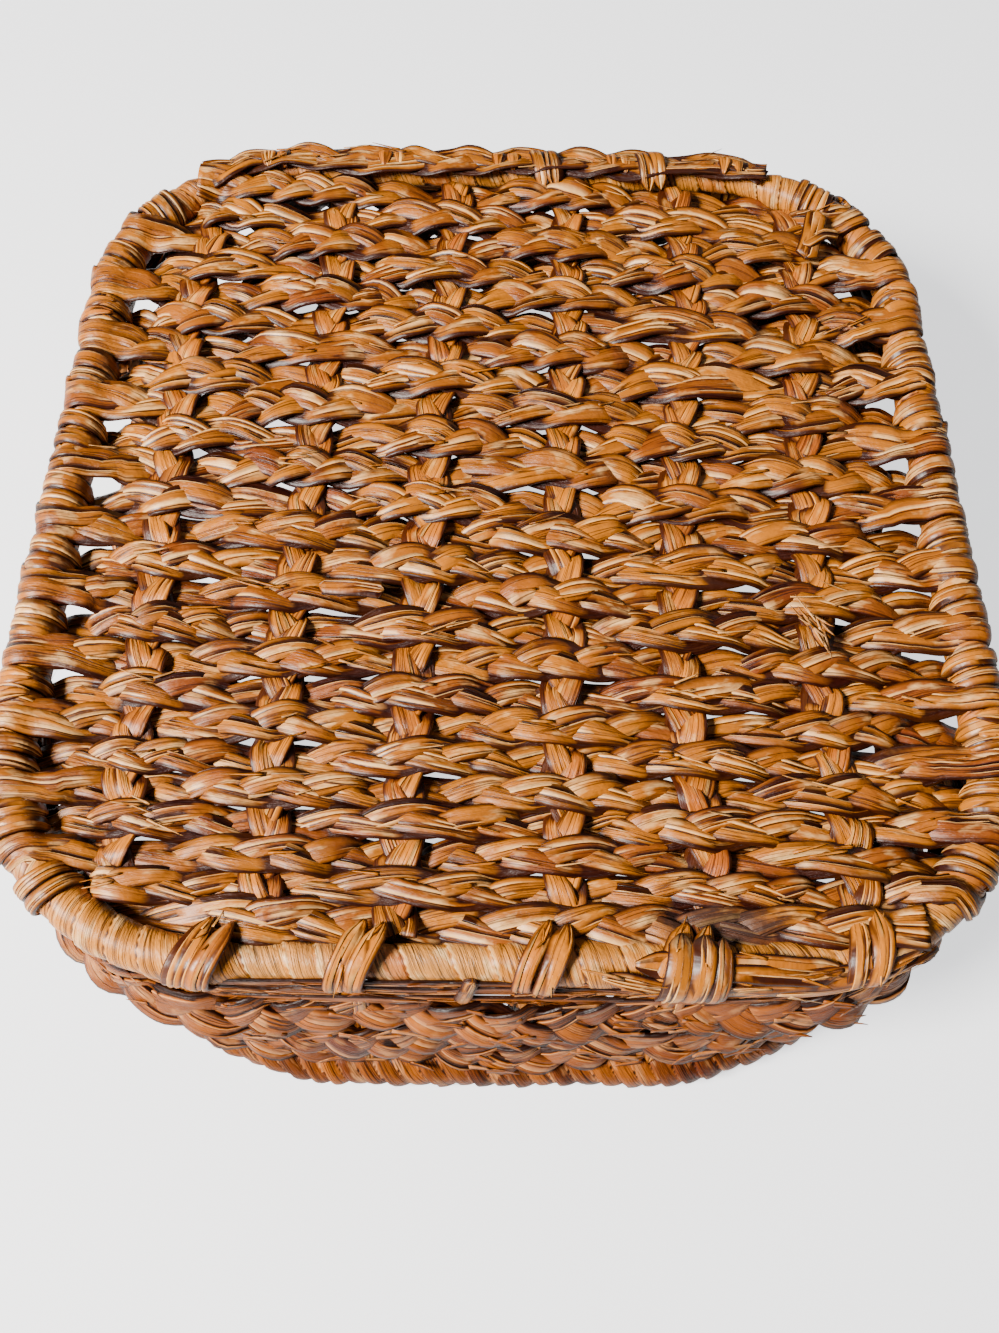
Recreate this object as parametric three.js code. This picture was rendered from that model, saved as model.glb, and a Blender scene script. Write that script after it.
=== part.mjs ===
// Woven basket carrier, lying base up on its mouth, the way it is put down to show its base.
//
// A wire ring wrapped in leaf strip, the rail, frames the base. Flat stakes run across the rail
// from front to back, and rows of plaited leaf pass over and under them from side to side; each
// row laps over the rail at one end and under it at the other, where the plait turns back.
// Uprights hang from the rail, go down to a second wrapped ring, the rim of the mouth, and carry
// three rows of wall plait. The mouth is rounder than the base, so the walls lean out at front and
// back and stand nearly upright at the sides. The two upper wall rows stop at a hand grip in each
// side.
//
// Millimetres, +Z up. The origin is the middle of the foot, the flat underside of the rim.
// Front is -Y, left is -X.

import * as THREE from 'three';

// Overall sizes
const BASE_WIDTH = 343;
const BASE_LENGTH = 362;
const BASE_CORNER_RADIUS = 81.5;
const RAIL_HEIGHT = 85;
const MOUTH_END_FLARE = 21;
const MOUTH_SIDE_FLARE = 1;
const MOUTH_CORNER_RADIUS = 123;
const FOOT_CUT = 0.5;

// Rings
const RAIL_DIAMETER = 13;
const RIM_DIAMETER = 16;
const WIRE_DIAMETER = 4;

// Base weave
const STAKE_WIDTH = 11;
const STAKE_THICKNESS = 4.5;
const STAKE_SPACING = 48.6;
const STAKE_SHIFT = -3.9;
const STAKE_TO_RAIL = 34;
const PLAIT_THICKNESS = 7;
const FRONT_ROW_SPACING = 10.2;
const BACK_ROW_SPACING = 15;
const EXTRA_ROW_SPACING = 0.32;
const ROW_GAP = 0.5;
const ROW_TO_RAIL = 0.8;

// Wall
const UPRIGHT_WIDTH = 11;
const UPRIGHT_THICKNESS = 4;
const UPRIGHT_SPACING = 51;
const FRONT_UPRIGHT_SHIFT = 6;
const WALL_ROW_COUNT = 3;
const WALL_PLAIT_HEIGHT = 15.6;
const WALL_PLAIT_THICKNESS = 7;
const WALL_ROW_GAP = 0.8;
const GRIP_LENGTH = 190;
const ROW_END_LAP = 4;

// Fits
const CLEARANCE = 0.3;
const WEAVE_CLEARANCE = 0.35;
const EASE = 2;

// Facets
const RING_SIDES = 12;
const BORE_SIDES = 8;
const CORNER_STEPS = 8;
const APPROACH_STEPS = 3;
const LAP_STEP = Math.PI / 6;
const HOOK_SEGMENTS = 6;

// Worked-out sizes
const railRadius = RAIL_DIAMETER / 2;
const rimRadius = RIM_DIAMETER / 2;
const wireRadius = WIRE_DIAMETER / 2;
const rimHeight = rimRadius - FOOT_CUT;
const halfWidth = BASE_WIDTH / 2 - railRadius;
const halfLength = BASE_LENGTH / 2 - railRadius;
const cornerRadius = BASE_CORNER_RADIUS - railRadius;
const cornerFlat = cornerRadius * (1 - Math.cos(Math.PI / 4 / CORNER_STEPS));
const railInside = cornerRadius - railRadius - cornerFlat - CLEARANCE;
const straightX = halfWidth - cornerRadius;
const straightY = halfLength - cornerRadius;
const mouthCorner = MOUTH_CORNER_RADIUS - rimRadius;
const mouthStraightX = halfWidth + MOUTH_SIDE_FLARE - mouthCorner;
const mouthStraightY = halfLength + MOUTH_END_FLARE - mouthCorner;
const lapGap = CLEARANCE + cornerFlat;
const lapRadius = (railRadius + lapGap + PLAIT_THICKNESS / 2) / Math.cos(LAP_STEP / 2);
const hookRadius = railRadius + CLEARANCE + UPRIGHT_THICKNESS / 2;
const rowLift = (STAKE_THICKNESS + PLAIT_THICKNESS) / 2 + WEAVE_CLEARANCE;
const wallLift = (UPRIGHT_THICKNESS + WALL_PLAIT_THICKNESS) / 2 + WEAVE_CLEARANCE;
const crossHalf = STAKE_WIDTH / 2 + EASE;
const uprightHalf = UPRIGHT_WIDTH / 2 + EASE;
const uprightFoot = rimHeight + rimRadius + CLEARANCE;
const wallRowPitch = WALL_PLAIT_HEIGHT + WALL_ROW_GAP;

// The loop of the rail's centre line, seen from above, by its length from the middle of the front.
const cornerArc = cornerRadius * Math.PI / 2;
const loopLength = 4 * (straightX + straightY + cornerArc);
const loopRuns = [
  { kind: 'line', length: straightX, from: [0, -halfLength], heading: 0 },
  { kind: 'arc', length: cornerArc, centre: [straightX, -straightY], start: -Math.PI / 2 },
  { kind: 'line', length: 2 * straightY, from: [halfWidth, -straightY], heading: Math.PI / 2 },
  { kind: 'arc', length: cornerArc, centre: [straightX, straightY], start: 0 },
  { kind: 'line', length: 2 * straightX, from: [straightX, halfLength], heading: Math.PI },
  { kind: 'arc', length: cornerArc, centre: [-straightX, straightY], start: Math.PI / 2 },
  { kind: 'line', length: 2 * straightY, from: [-halfWidth, straightY], heading: -Math.PI / 2 },
  { kind: 'arc', length: cornerArc, centre: [-straightX, -straightY], start: Math.PI },
  { kind: 'line', length: straightX, from: [-straightX, -halfLength], heading: 0 },
];

// A point of the loop with the direction that points out of the basket there.
function loopPoint(along) {
  let rest = ((along % loopLength) + loopLength) % loopLength;
  for (const run of loopRuns) {
    if (rest <= run.length) {
      if (run.kind === 'arc') {
        const turn = run.start + rest / cornerRadius;
        const out = [Math.cos(turn), Math.sin(turn)];
        return {
          x: run.centre[0] + cornerRadius * out[0],
          y: run.centre[1] + cornerRadius * out[1],
          outX: out[0],
          outY: out[1],
        };
      }
      return {
        x: run.from[0] + rest * Math.cos(run.heading),
        y: run.from[1] + rest * Math.sin(run.heading),
        outX: Math.sin(run.heading),
        outY: -Math.cos(run.heading),
      };
    }
    rest -= run.length;
  }
  return loopPoint(0);
}

// Loop lengths at which the rail bends, so that a swept piece follows the corners closely.
function bendStations() {
  const stations = [];
  let begin = 0;
  for (const run of loopRuns) {
    if (run.kind === 'arc') {
      for (let step = 0; step <= CORNER_STEPS; step += 1) {
        stations.push(begin + run.length * step / CORNER_STEPS);
      }
    }
    begin += run.length;
  }
  return stations;
}

// The same for the mouth, whose rounder corners begin before the rail's do.
function mouthStations() {
  const stations = [];
  let begin = 0;
  loopRuns.forEach((run, i) => {
    const along = i % 4 === 0 ? straightX - mouthStraightX : straightY - mouthStraightY;
    for (let step = 0; step < APPROACH_STEPS && run.kind === 'line'; step += 1) {
      const before = along * (1 - step / APPROACH_STEPS);
      if (i > 0) stations.push(begin + before);
      if (i < loopRuns.length - 1) stations.push(begin + run.length - before);
    }
    begin += run.length;
  });
  return [...stations, ...bendStations()].sort((a, b) => a - b);
}

// Loop length of a place on one side of the basket.
const sideMiddle = straightX + cornerArc + straightY;
const backMiddle = loopLength / 2;
const rightSideAt = (y) => sideMiddle + y;
const leftSideAt = (y) => loopLength - sideMiddle - y;

// How far a place seen from above lies outside a rounded rectangle; inside it is negative.
function outsideLoop(x, y, flatX, flatY, radius) {
  const dx = Math.abs(x) - flatX;
  const dy = Math.abs(y) - flatY;
  const corner = Math.hypot(Math.max(dx, 0), Math.max(dy, 0));
  return corner + Math.min(Math.max(dx, dy), 0) - radius;
}

const outsideRail = (x, y) => outsideLoop(x, y, straightX, straightY, cornerRadius);

// How far outside the rail's centre line the mouth's runs, straight out from a point of the loop
function mouthOut(at) {
  let out = 0;
  for (let step = 0; step < 12; step += 1) {
    const x = at.x + out * at.outX;
    const y = at.y + out * at.outY;
    out -= outsideLoop(x, y, mouthStraightX, mouthStraightY, mouthCorner);
  }
  return out;
}

// Where a line across the base at y meets the rail's centre line, on the right (+1) or left (-1).
function railFoot(side, y) {
  const past = Math.min(Math.max(Math.abs(y) - straightY, 0), cornerRadius);
  const reach = Math.sqrt(cornerRadius ** 2 - past ** 2);
  return {
    x: side * (straightX + reach),
    y,
    outX: side * reach / cornerRadius,
    outY: Math.sign(y) * past / cornerRadius,
  };
}

// A closed body through rings of as many points each: closed on itself, or with flat ends.
function loft(rings, closed = false) {
  const sides = rings[0].length;
  const corners = [];
  const put = (ring, i) => corners.push(...rings[(ring + rings.length) % rings.length][i % sides]);
  const last = closed ? rings.length : rings.length - 1;
  for (let ring = 0; ring < last; ring += 1) {
    for (let i = 0; i < sides; i += 1) {
      put(ring, i);
      put(ring + 1, i);
      put(ring + 1, i + 1);
      put(ring, i);
      put(ring + 1, i + 1);
      put(ring, i + 1);
    }
  }
  if (!closed) {
    for (let i = 1; i < sides - 1; i += 1) {
      put(0, 0);
      put(0, i);
      put(0, i + 1);
      put(rings.length - 1, 0);
      put(rings.length - 1, i + 1);
      put(rings.length - 1, i);
    }
  }
  return outward(corners);
}

// A sleeve: an outer skin and a bore through the same stations, joined by a flat band at each end.
function sleeve(outerRings, boreRings) {
  const corners = [];
  const skin = (rings, flip) => {
    for (let ring = 0; ring < rings.length - 1; ring += 1) {
      const count = rings[ring].length;
      for (let i = 0; i < count; i += 1) {
        const a = rings[ring][i];
        const b = rings[ring + 1][i];
        const c = rings[ring + 1][(i + 1) % count];
        const d = rings[ring][(i + 1) % count];
        corners.push(...(flip ? [a, c, b, a, d, c] : [a, b, c, a, c, d]).flat());
      }
    }
  };
  skin(outerRings, false);
  skin(boreRings, true);
  const ends = [[0, false], [outerRings.length - 1, true]];
  for (const [ring, flip] of ends) {
    const outer = outerRings[ring];
    const bore = boreRings[ring];
    const share = outer.length / bore.length;
    for (let i = 0; i < bore.length; i += 1) {
      const from = Math.round(i * share);
      const to = Math.round((i + 1) * share);
      for (let j = from; j < to; j += 1) {
        const next = outer[(j + 1) % outer.length];
        corners.push(...(flip ? [outer[j], bore[i], next] : [outer[j], next, bore[i]]).flat());
      }
      const edge = outer[to % outer.length];
      const following = bore[(i + 1) % bore.length];
      corners.push(...(flip ? [edge, bore[i], following] : [edge, following, bore[i]]).flat());
    }
  }
  return outward(corners);
}

// Turns a closed triangle list so that its faces point out, and makes the geometry.
function outward(corners) {
  let volume = 0;
  for (let i = 0; i < corners.length; i += 9) {
    const a = new THREE.Vector3(...corners.slice(i, i + 3));
    const b = new THREE.Vector3(...corners.slice(i + 3, i + 6));
    const c = new THREE.Vector3(...corners.slice(i + 6, i + 9));
    volume += a.dot(b.cross(c));
  }
  if (volume < 0) {
    for (let i = 0; i < corners.length; i += 9) {
      const second = corners.slice(i + 3, i + 6);
      const third = corners.slice(i + 6, i + 9);
      corners.splice(i + 3, 6, ...third, ...second);
    }
  }
  const geometry = new THREE.BufferGeometry();
  geometry.setAttribute('position', new THREE.Float32BufferAttribute(corners, 3));
  geometry.computeVertexNormals();
  return geometry;
}

// Finishes: leaf in four tones and galvanised wire
const leaf = (color) => new THREE.MeshStandardMaterial({ color, roughness: 0.62, metalness: 0 });
const finishes = {
  row: () => leaf(0xb5803f),
  stake: () => leaf(0xa96f30),
  rail: () => leaf(0xc4914d),
  wall: () => leaf(0x9c673a),
  wire: () => new THREE.MeshStandardMaterial({ color: 0x9a9b9c, roughness: 0.4, metalness: 0.9 }),
};

const basket = new THREE.Group();

function add(name, geometry, material, parent = basket) {
  const mesh = new THREE.Mesh(geometry, material);
  mesh.name = name;
  parent.add(mesh);
  return mesh;
}

// The rail and the rim, each by how far it lies outside the rail's centre line, its height and the
// stations that its bends need
const rail = { out: () => 0, height: RAIL_HEIGHT, radius: railRadius, lowest: -railRadius };
const rim = { out: mouthOut, height: rimHeight, radius: rimRadius, lowest: -rimHeight };
rail.stations = bendStations();
rim.stations = mouthStations();

// A round section on the loop: its points stand out from the centre line and up from it, and the
// foot cut makes its underside flat.
function ringSection(along, ring, radius, sides, lowest = -radius) {
  const at = loopPoint(along);
  const middle = ring.out(at);
  const points = [];
  for (let i = 0; i < sides; i += 1) {
    const turn = 2 * Math.PI * (i + 0.5) / sides;
    const out = middle + radius * Math.cos(turn);
    const up = Math.max(radius * Math.sin(turn), lowest);
    points.push([at.x + out * at.outX, at.y + out * at.outY, ring.height + up]);
  }
  return points;
}

// Wire ring, closed on itself
function wireRing(ring) {
  const rings = ring.stations.map((along) => ringSection(along, ring, wireRadius, BORE_SIDES));
  return loft(rings, true);
}

// Leaf wrapping of one half of a wire ring, from the middle of one side to the other's
function halfWrap(start, ring) {
  const from = start + CLEARANCE / 2;
  const to = start + loopLength / 2 - CLEARANCE / 2;
  const bends = [...ring.stations, ...ring.stations.map((along) => along + loopLength)];
  const stations = [from, ...bends.filter((along) => along > from && along < to), to];
  const outer = stations.map((along) => (
    ringSection(along, ring, ring.radius, RING_SIDES, ring.lowest)
  ));
  const bore = stations.map((along) => (
    ringSection(along, ring, wireRadius + CLEARANCE, BORE_SIDES)
  ));
  return sleeve(outer, bore);
}

function addRings() {
  const frontStart = leftSideAt(0);
  const backStart = rightSideAt(0);
  add('rail_wire', wireRing(rail), finishes.wire());
  add('rail_wrap_front', halfWrap(frontStart, rail), finishes.rail());
  add('rail_wrap_back', halfWrap(backStart, rail), finishes.rail());
  add('rim_wire', wireRing(rim), finishes.wire());
  add('rim_wrap_front', halfWrap(frontStart, rim), finishes.wall());
  add('rim_wrap_back', halfWrap(backStart, rim), finishes.wall());
}

// Stakes: as many as fit between the side rails at their spacing
const stakeRoom = 2 * (halfWidth - Math.abs(STAKE_SHIFT) - STAKE_TO_RAIL);
const stakeCount = 1 + Math.floor(stakeRoom / STAKE_SPACING);
const stakePlaces = Array.from({ length: stakeCount }, (_, i) => (
  STAKE_SHIFT + (i - (stakeCount - 1) / 2) * STAKE_SPACING
));

function addStakes() {
  const half = STAKE_WIDTH / 2;
  const shoulder = STAKE_THICKNESS / 2;
  const section = new THREE.Shape();
  section.moveTo(-half, 0);
  section.lineTo(-half + shoulder, -shoulder);
  section.lineTo(half - shoulder, -shoulder);
  section.lineTo(half, 0);
  section.lineTo(half - shoulder, shoulder);
  section.lineTo(-half + shoulder, shoulder);
  section.closePath();
  stakePlaces.forEach((x, i) => {
    // The stake's outer edge comes closest to the rail, where the corner bends towards it.
    const edge = Math.min(Math.abs(x) + half, straightX + cornerRadius);
    const past = Math.max(edge - straightX, 0);
    const reach = straightY + Math.sqrt(Math.max(railInside ** 2 - past ** 2, 0));
    const bar = new THREE.ExtrudeGeometry(section, { depth: 2 * reach, bevelEnabled: false });
    const mesh = add(`base_stake_${i + 1}`, bar, finishes.stake());
    mesh.rotation.x = Math.PI / 2;
    mesh.position.set(x, reach, RAIL_HEIGHT);
  });
}

// Base rows, from the front rail back as far as they fit. Each spacing is a little wider than the
// one before it, up to the widest, and a plait is as wide as the spacings round it leave.
const rowLimit = halfLength - railRadius - ROW_TO_RAIL;
const spacingAfter = (row) => (
  Math.min(FRONT_ROW_SPACING + EXTRA_ROW_SPACING * Math.max(row, 0), BACK_ROW_SPACING)
);
const rowWidth = (row) => (spacingAfter(row - 1) + spacingAfter(row)) / 2 - ROW_GAP;
const rowPlaces = [];
for (let y = rowWidth(0) / 2 - rowLimit; y + rowWidth(rowPlaces.length) / 2 <= rowLimit;) {
  rowPlaces.push(y);
  y += spacingAfter(rowPlaces.length - 1);
}
const plaitWidths = rowPlaces.map((_, row) => rowWidth(row));

// Whether a row passes over (1) or under (-1) a stake; crossings 0 and stakeCount + 1 are the
// side rails.
const laps = (row, crossing) => ((row + crossing) % 2 === 0 ? 1 : -1);

// The flat six-sided section of a plait: [across, through] offsets
function plaitSection(width, thickness) {
  const w = width / 2;
  const t = thickness / 2;
  const shoulder = w - t;
  return [[-w, 0], [-shoulder, -t], [shoulder, -t], [w, 0], [shoulder, t], [-shoulder, t]];
}

// The end of a row at a rail, from the inside to its tip: over the rail and down its outer side
// on the upper end, under it on the lower end. A row that the corner cuts off too early for that
// ends against the rail's inner side, and gets no rings here.
function rowEnd(side, y, section, lift, tipTurn, lastCrossing) {
  const foot = railFoot(side, y);
  const slope = Math.abs(foot.outX);
  const rings = [];
  for (const turn of [5 * LAP_STEP, 4 * LAP_STEP]) {
    const x = foot.x + side * lapRadius * Math.cos(turn) / slope;
    if (side * (x - lastCrossing) > EASE) {
      rings.push(section.map(([across, through]) => {
        const off = outsideRail(x, y + across);
        const up = Math.sqrt(Math.max(lapRadius ** 2 - off ** 2, 0));
        return [x, y + across, RAIL_HEIGHT + lift * up + through];
      }));
    }
  }
  for (let turn = 3 * LAP_STEP; turn > tipTurn - LAP_STEP / 2; turn -= LAP_STEP) {
    rings.push(section.map(([across, through]) => {
      const at = railFoot(side, y + across * slope);
      const radius = lapRadius + lift * through;
      const out = radius * Math.cos(turn);
      const up = lift * radius * Math.sin(turn);
      return [at.x + out * at.outX, at.y + out * at.outY, RAIL_HEIGHT + up];
    }));
  }
  return rings;
}

// The farthest x at which a row's outer edge still clears the rail's inner side
function rowReach(y, width) {
  const edge = Math.abs(y) + width / 2;
  const past = Math.max(edge - straightY, 0);
  return straightX + Math.sqrt(Math.max(railInside ** 2 - past ** 2, 0));
}

// Sides and places at which a side upright hooks over the rail, so the row there stays below it
const gripEnds = [];

function nearestLowRow(side, y) {
  const crossing = side < 0 ? 0 : stakeCount + 1;
  const low = rowPlaces.filter((_, row) => laps(row, crossing) < 0);
  return low.reduce((best, place) => (Math.abs(place - y) < Math.abs(best - y) ? place : best));
}

for (const side of [-1, 1]) {
  for (const end of [-1, 1]) {
    gripEnds.push({ side, end, y: nearestLowRow(side, end * GRIP_LENGTH / 2) });
  }
}

function baseRow(row) {
  const y = rowPlaces[row];
  const width = plaitWidths[row];
  const section = plaitSection(width, PLAIT_THICKNESS);
  const reach = rowReach(y, width);
  const flat = (x, lift) => section.map(([across, through]) => (
    [x, y + across, RAIL_HEIGHT + lift * rowLift + through]
  ));
  const middle = [];
  let leftEdge = Infinity;
  let rightEdge = -Infinity;
  stakePlaces.forEach((stake, i) => {
    const lift = laps(row, i + 1);
    for (const x of [stake - crossHalf, stake + crossHalf]) {
      if (Math.abs(x) < reach) {
        middle.push(flat(x, lift));
        leftEdge = Math.min(leftEdge, x);
        rightEdge = Math.max(rightEdge, x);
      }
    }
  });
  const ends = [[-1, 0, leftEdge], [1, stakeCount + 1, rightEdge]].map(([side, crossing, last]) => {
    const foot = railFoot(side, y);
    const needed = (lapRadius + width * Math.abs(foot.outY) / 2) / Math.abs(foot.outX);
    const stakeCut = stakePlaces.some((stake) => side * stake + crossHalf >= reach);
    if (stakeCut || side * (foot.x - last) < needed + EASE) {
      const nearest = side < 0 ? 1 : stakeCount;
      const tip = side * reach;
      return side * (tip - last) > EASE ? [flat(tip, laps(row, nearest))] : [];
    }
    const lift = laps(row, crossing);
    const hooked = gripEnds.some((grip) => grip.side === side && grip.y === y);
    const lowTip = hooked ? Math.PI / 2 : Math.PI / 3;
    return rowEnd(side, y, section, lift, lift > 0 ? -LAP_STEP : lowTip, last);
  });
  return loft([...ends[0].reverse(), ...middle, ...ends[1]]);
}

function addBaseRows() {
  rowPlaces.forEach((_, row) => {
    const number = String(row + 1).padStart(2, '0');
    add(`base_row_${number}`, baseRow(row), finishes.row());
  });
}

// Uprights: a hook over the rail and a straight leg to the rim, which lies so far out there
function uprightProfile(mouth) {
  const inner = hookRadius - UPRIGHT_THICKNESS / 2;
  const outer = hookRadius + UPRIGHT_THICKNESS / 2;
  const hookEnd = 2 * Math.PI / 3;
  const drop = RAIL_HEIGHT - uprightFoot;
  const shape = new THREE.Shape();
  shape.absarc(0, 0, outer, 0, hookEnd, false);
  shape.absarc(0, 0, inner, hookEnd, 0, true);
  shape.lineTo(mouth - UPRIGHT_THICKNESS / 2, -drop);
  shape.lineTo(mouth + UPRIGHT_THICKNESS / 2, -drop);
  shape.closePath();
  return shape;
}

// Evenly spaced uprights along the front or back, as loop lengths
function evenUprights(middle) {
  const reach = straightX + cornerArc / 2 - UPRIGHT_WIDTH / 2 - FRONT_UPRIGHT_SHIFT;
  const count = 1 + 2 * Math.floor(reach / UPRIGHT_SPACING);
  return Array.from({ length: count }, (_, i) => (
    middle + (i - (count - 1) / 2) * UPRIGHT_SPACING
  ));
}

const uprights = [
  ...evenUprights(loopLength + FRONT_UPRIGHT_SHIFT).map((along, i) => (
    { name: `front_upright_${i + 1}`, along: along % loopLength }
  )),
  ...evenUprights(backMiddle).map((along, i) => (
    { name: `back_upright_${i + 1}`, along }
  )),
  ...gripEnds.map(({ side, end, y }) => ({
    name: `${side < 0 ? 'left' : 'right'}_upright_${end < 0 ? 'front' : 'back'}`,
    along: side < 0 ? leftSideAt(y) : rightSideAt(y),
  })),
].sort((a, b) => a.along - b.along);

function addUprights() {
  const bar = { depth: UPRIGHT_WIDTH, bevelEnabled: false, curveSegments: HOOK_SEGMENTS };
  for (const { name, along } of uprights) {
    const at = loopPoint(along);
    const place = new THREE.Group();
    place.position.set(at.x, at.y, RAIL_HEIGHT);
    place.rotation.z = Math.atan2(at.outY, at.outX);
    const leg = new THREE.ExtrudeGeometry(uprightProfile(mouthOut(at)), bar);
    const mesh = add(name, leg, finishes.stake(), place);
    mesh.rotation.x = Math.PI / 2;
    mesh.position.y = UPRIGHT_WIDTH / 2;
    basket.add(place);
  }
}

// How far outside the rail's centre line an upright's leg stands at a height
function legOut(height, mouth) {
  const down = (RAIL_HEIGHT - height) / (RAIL_HEIGHT - uprightFoot);
  return hookRadius + (mouth - hookRadius) * down;
}

// A point of the loop as a wall row meets it: along an upright's width it keeps that upright's own
// straight line and lean.
function wallPoint(along) {
  const turn = ({ along: place }) => (
    along - place - loopLength * Math.round((along - place) / loopLength)
  );
  const upright = uprights.find((one) => Math.abs(turn(one)) <= uprightHalf + CLEARANCE);
  const at = loopPoint(upright ? upright.along : along);
  const past = upright ? turn(upright) : 0;
  return { ...at, x: at.x - past * at.outY, y: at.y + past * at.outX, mouth: mouthOut(at) };
}

// In and out of the uprights by turns: 1 outside, -1 inside, eased to 0 halfway along a grip
function wallWeave(row) {
  const knots = [];
  uprights.forEach(({ along }, i) => {
    const lift = (i + row) % 2 === 0 ? 1 : -1;
    knots.push([along - uprightHalf, lift], [along, lift], [along + uprightHalf, lift]);
  });
  knots.push([rightSideAt(0), 0], [leftSideAt(0), 0]);
  knots.sort((a, b) => a[0] - b[0]);
  const before = knots.map(([along, lift]) => [along - loopLength, lift]);
  const after = knots.map(([along, lift]) => [along + loopLength, lift]);
  return [...before, ...knots, ...after];
}

function weaveAt(knots, along) {
  const next = knots.findIndex(([place]) => place >= along);
  const [to, toLift] = knots[next];
  const [from, fromLift] = knots[next - 1];
  const share = to > from ? (along - from) / (to - from) : 0;
  return fromLift + (toLift - fromLift) * share;
}

function wallRow(row, from, to) {
  const knots = wallWeave(row);
  const height = uprightFoot + WALL_PLAIT_HEIGHT / 2 + row * wallRowPitch;
  const bends = rim.stations.flatMap((along) => [along - loopLength, along, along + loopLength]);
  const stations = [...bends, ...knots.map(([along]) => along)]
    .filter((along) => along > from + EASE && along < to - EASE)
    .sort((a, b) => a - b)
    .filter((along, i, all) => i === 0 || along - all[i - 1] > EASE || isKnot(knots, along));
  const rings = [from, ...stations, to].map((along) => {
    const at = wallPoint(along);
    const lift = weaveAt(knots, along) * wallLift;
    return plaitSection(WALL_PLAIT_HEIGHT, WALL_PLAIT_THICKNESS).map(([up, through]) => {
      const out = legOut(height + up, at.mouth) + lift + through;
      return [at.x + out * at.outX, at.y + out * at.outY, height + up];
    });
  });
  return loft(rings);
}

function isKnot(knots, along) {
  return knots.some(([place]) => place === along);
}

function addWallRows() {
  const gripPlace = (side, end) => gripEnds.find((grip) => grip.side === side && grip.end === end).y;
  const tail = uprightHalf + ROW_END_LAP;
  for (let row = 0; row < WALL_ROW_COUNT; row += 1) {
    const open = row > 0;
    const half = CLEARANCE / 2;
    const frontFrom = open ? leftSideAt(gripPlace(-1, -1)) - loopLength - tail
      : leftSideAt(0) - loopLength + half;
    const frontTo = open ? rightSideAt(gripPlace(1, -1)) + tail : rightSideAt(0) - half;
    const backFrom = open ? rightSideAt(gripPlace(1, 1)) - tail : rightSideAt(0) + half;
    const backTo = open ? leftSideAt(gripPlace(-1, 1)) + tail : leftSideAt(0) - half;
    add(`front_wall_row_${row + 1}`, wallRow(row, frontFrom, frontTo), finishes.wall());
    add(`back_wall_row_${row + 1}`, wallRow(row, backFrom, backTo), finishes.wall());
  }
}

addRings();
addStakes();
addBaseRows();
addUprights();
addWallRows();

export default basket;
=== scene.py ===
# %% [markdown]
# # A woven basket carrier that lies base up
#
# The object is a low square basket of dry leaf. A wire ring wrapped in leaf strip, the rail,
# frames its base. One long three-strand plait goes back and forth across the base, over and under
# six stakes, and turns round the rail at each side. Uprights hang from the rail, carry three rows
# of wall plait and end at a second wrapped ring, the rim of the mouth, which stands on the floor.
#
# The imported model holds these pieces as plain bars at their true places. This script keeps the
# places and gives each bar its woven form: every strand of every plait is a surface of its own.

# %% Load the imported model
import math

import bpy
import numpy as np
from mathutils import Matrix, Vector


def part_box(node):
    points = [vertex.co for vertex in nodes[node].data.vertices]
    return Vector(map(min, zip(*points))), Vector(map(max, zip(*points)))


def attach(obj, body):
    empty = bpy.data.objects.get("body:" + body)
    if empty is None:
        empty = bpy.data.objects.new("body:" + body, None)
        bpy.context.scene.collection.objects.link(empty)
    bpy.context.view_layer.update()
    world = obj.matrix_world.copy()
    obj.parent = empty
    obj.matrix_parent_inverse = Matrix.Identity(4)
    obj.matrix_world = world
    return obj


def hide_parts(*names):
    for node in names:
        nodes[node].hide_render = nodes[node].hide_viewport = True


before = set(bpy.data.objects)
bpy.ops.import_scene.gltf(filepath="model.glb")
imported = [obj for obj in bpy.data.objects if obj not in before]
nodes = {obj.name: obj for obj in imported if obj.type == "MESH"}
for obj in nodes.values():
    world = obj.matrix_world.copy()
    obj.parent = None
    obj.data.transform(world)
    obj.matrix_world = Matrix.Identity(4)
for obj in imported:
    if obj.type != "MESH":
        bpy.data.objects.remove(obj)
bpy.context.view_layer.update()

print("nodes in the packed model:", len(nodes))

# %% [markdown]
# ## The camera
#
# A phone stood close over the front edge and looked steeply down. Its place could be guessed and
# corrected by eye, but the base is a known flat shape, so the place was fitted to the outline of
# the base instead. The same place then serves for the whole scene. The camera is made first, so
# that everything later is judged from it.

# %% Camera
BASE_CENTRE = (0.0, 0.0, 0.085)
CAMERA_FROM_BASE = (-0.0064, -0.2332, 0.3325)
CAMERA_RIGHT = (0.99982, 0.00648, 0.01771)
CAMERA_DOWN = (0.01354, -0.90052, -0.43461)
CAMERA_FORWARD = (0.01313, 0.43477, -0.90044)
FRAME_HEIGHT_PX = 1333
FOCAL_PX = 1050
SENSOR_MM = 36.0
NEAREST_SEEN = 0.02


def put_in_scene(name, data):
    """A linked object for a camera, a lamp or a mesh."""
    made = bpy.data.objects.new(name, data)
    bpy.context.scene.collection.objects.link(made)
    return made


def seated(right, up, back, place):
    """The matrix whose columns are an object's right, up and back directions and its place."""
    columns = (right, up, back, place)
    return Matrix([[float(column[row]) for column in columns] for row in range(3)]
                  + [[0.0, 0.0, 0.0, 1.0]])


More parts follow.
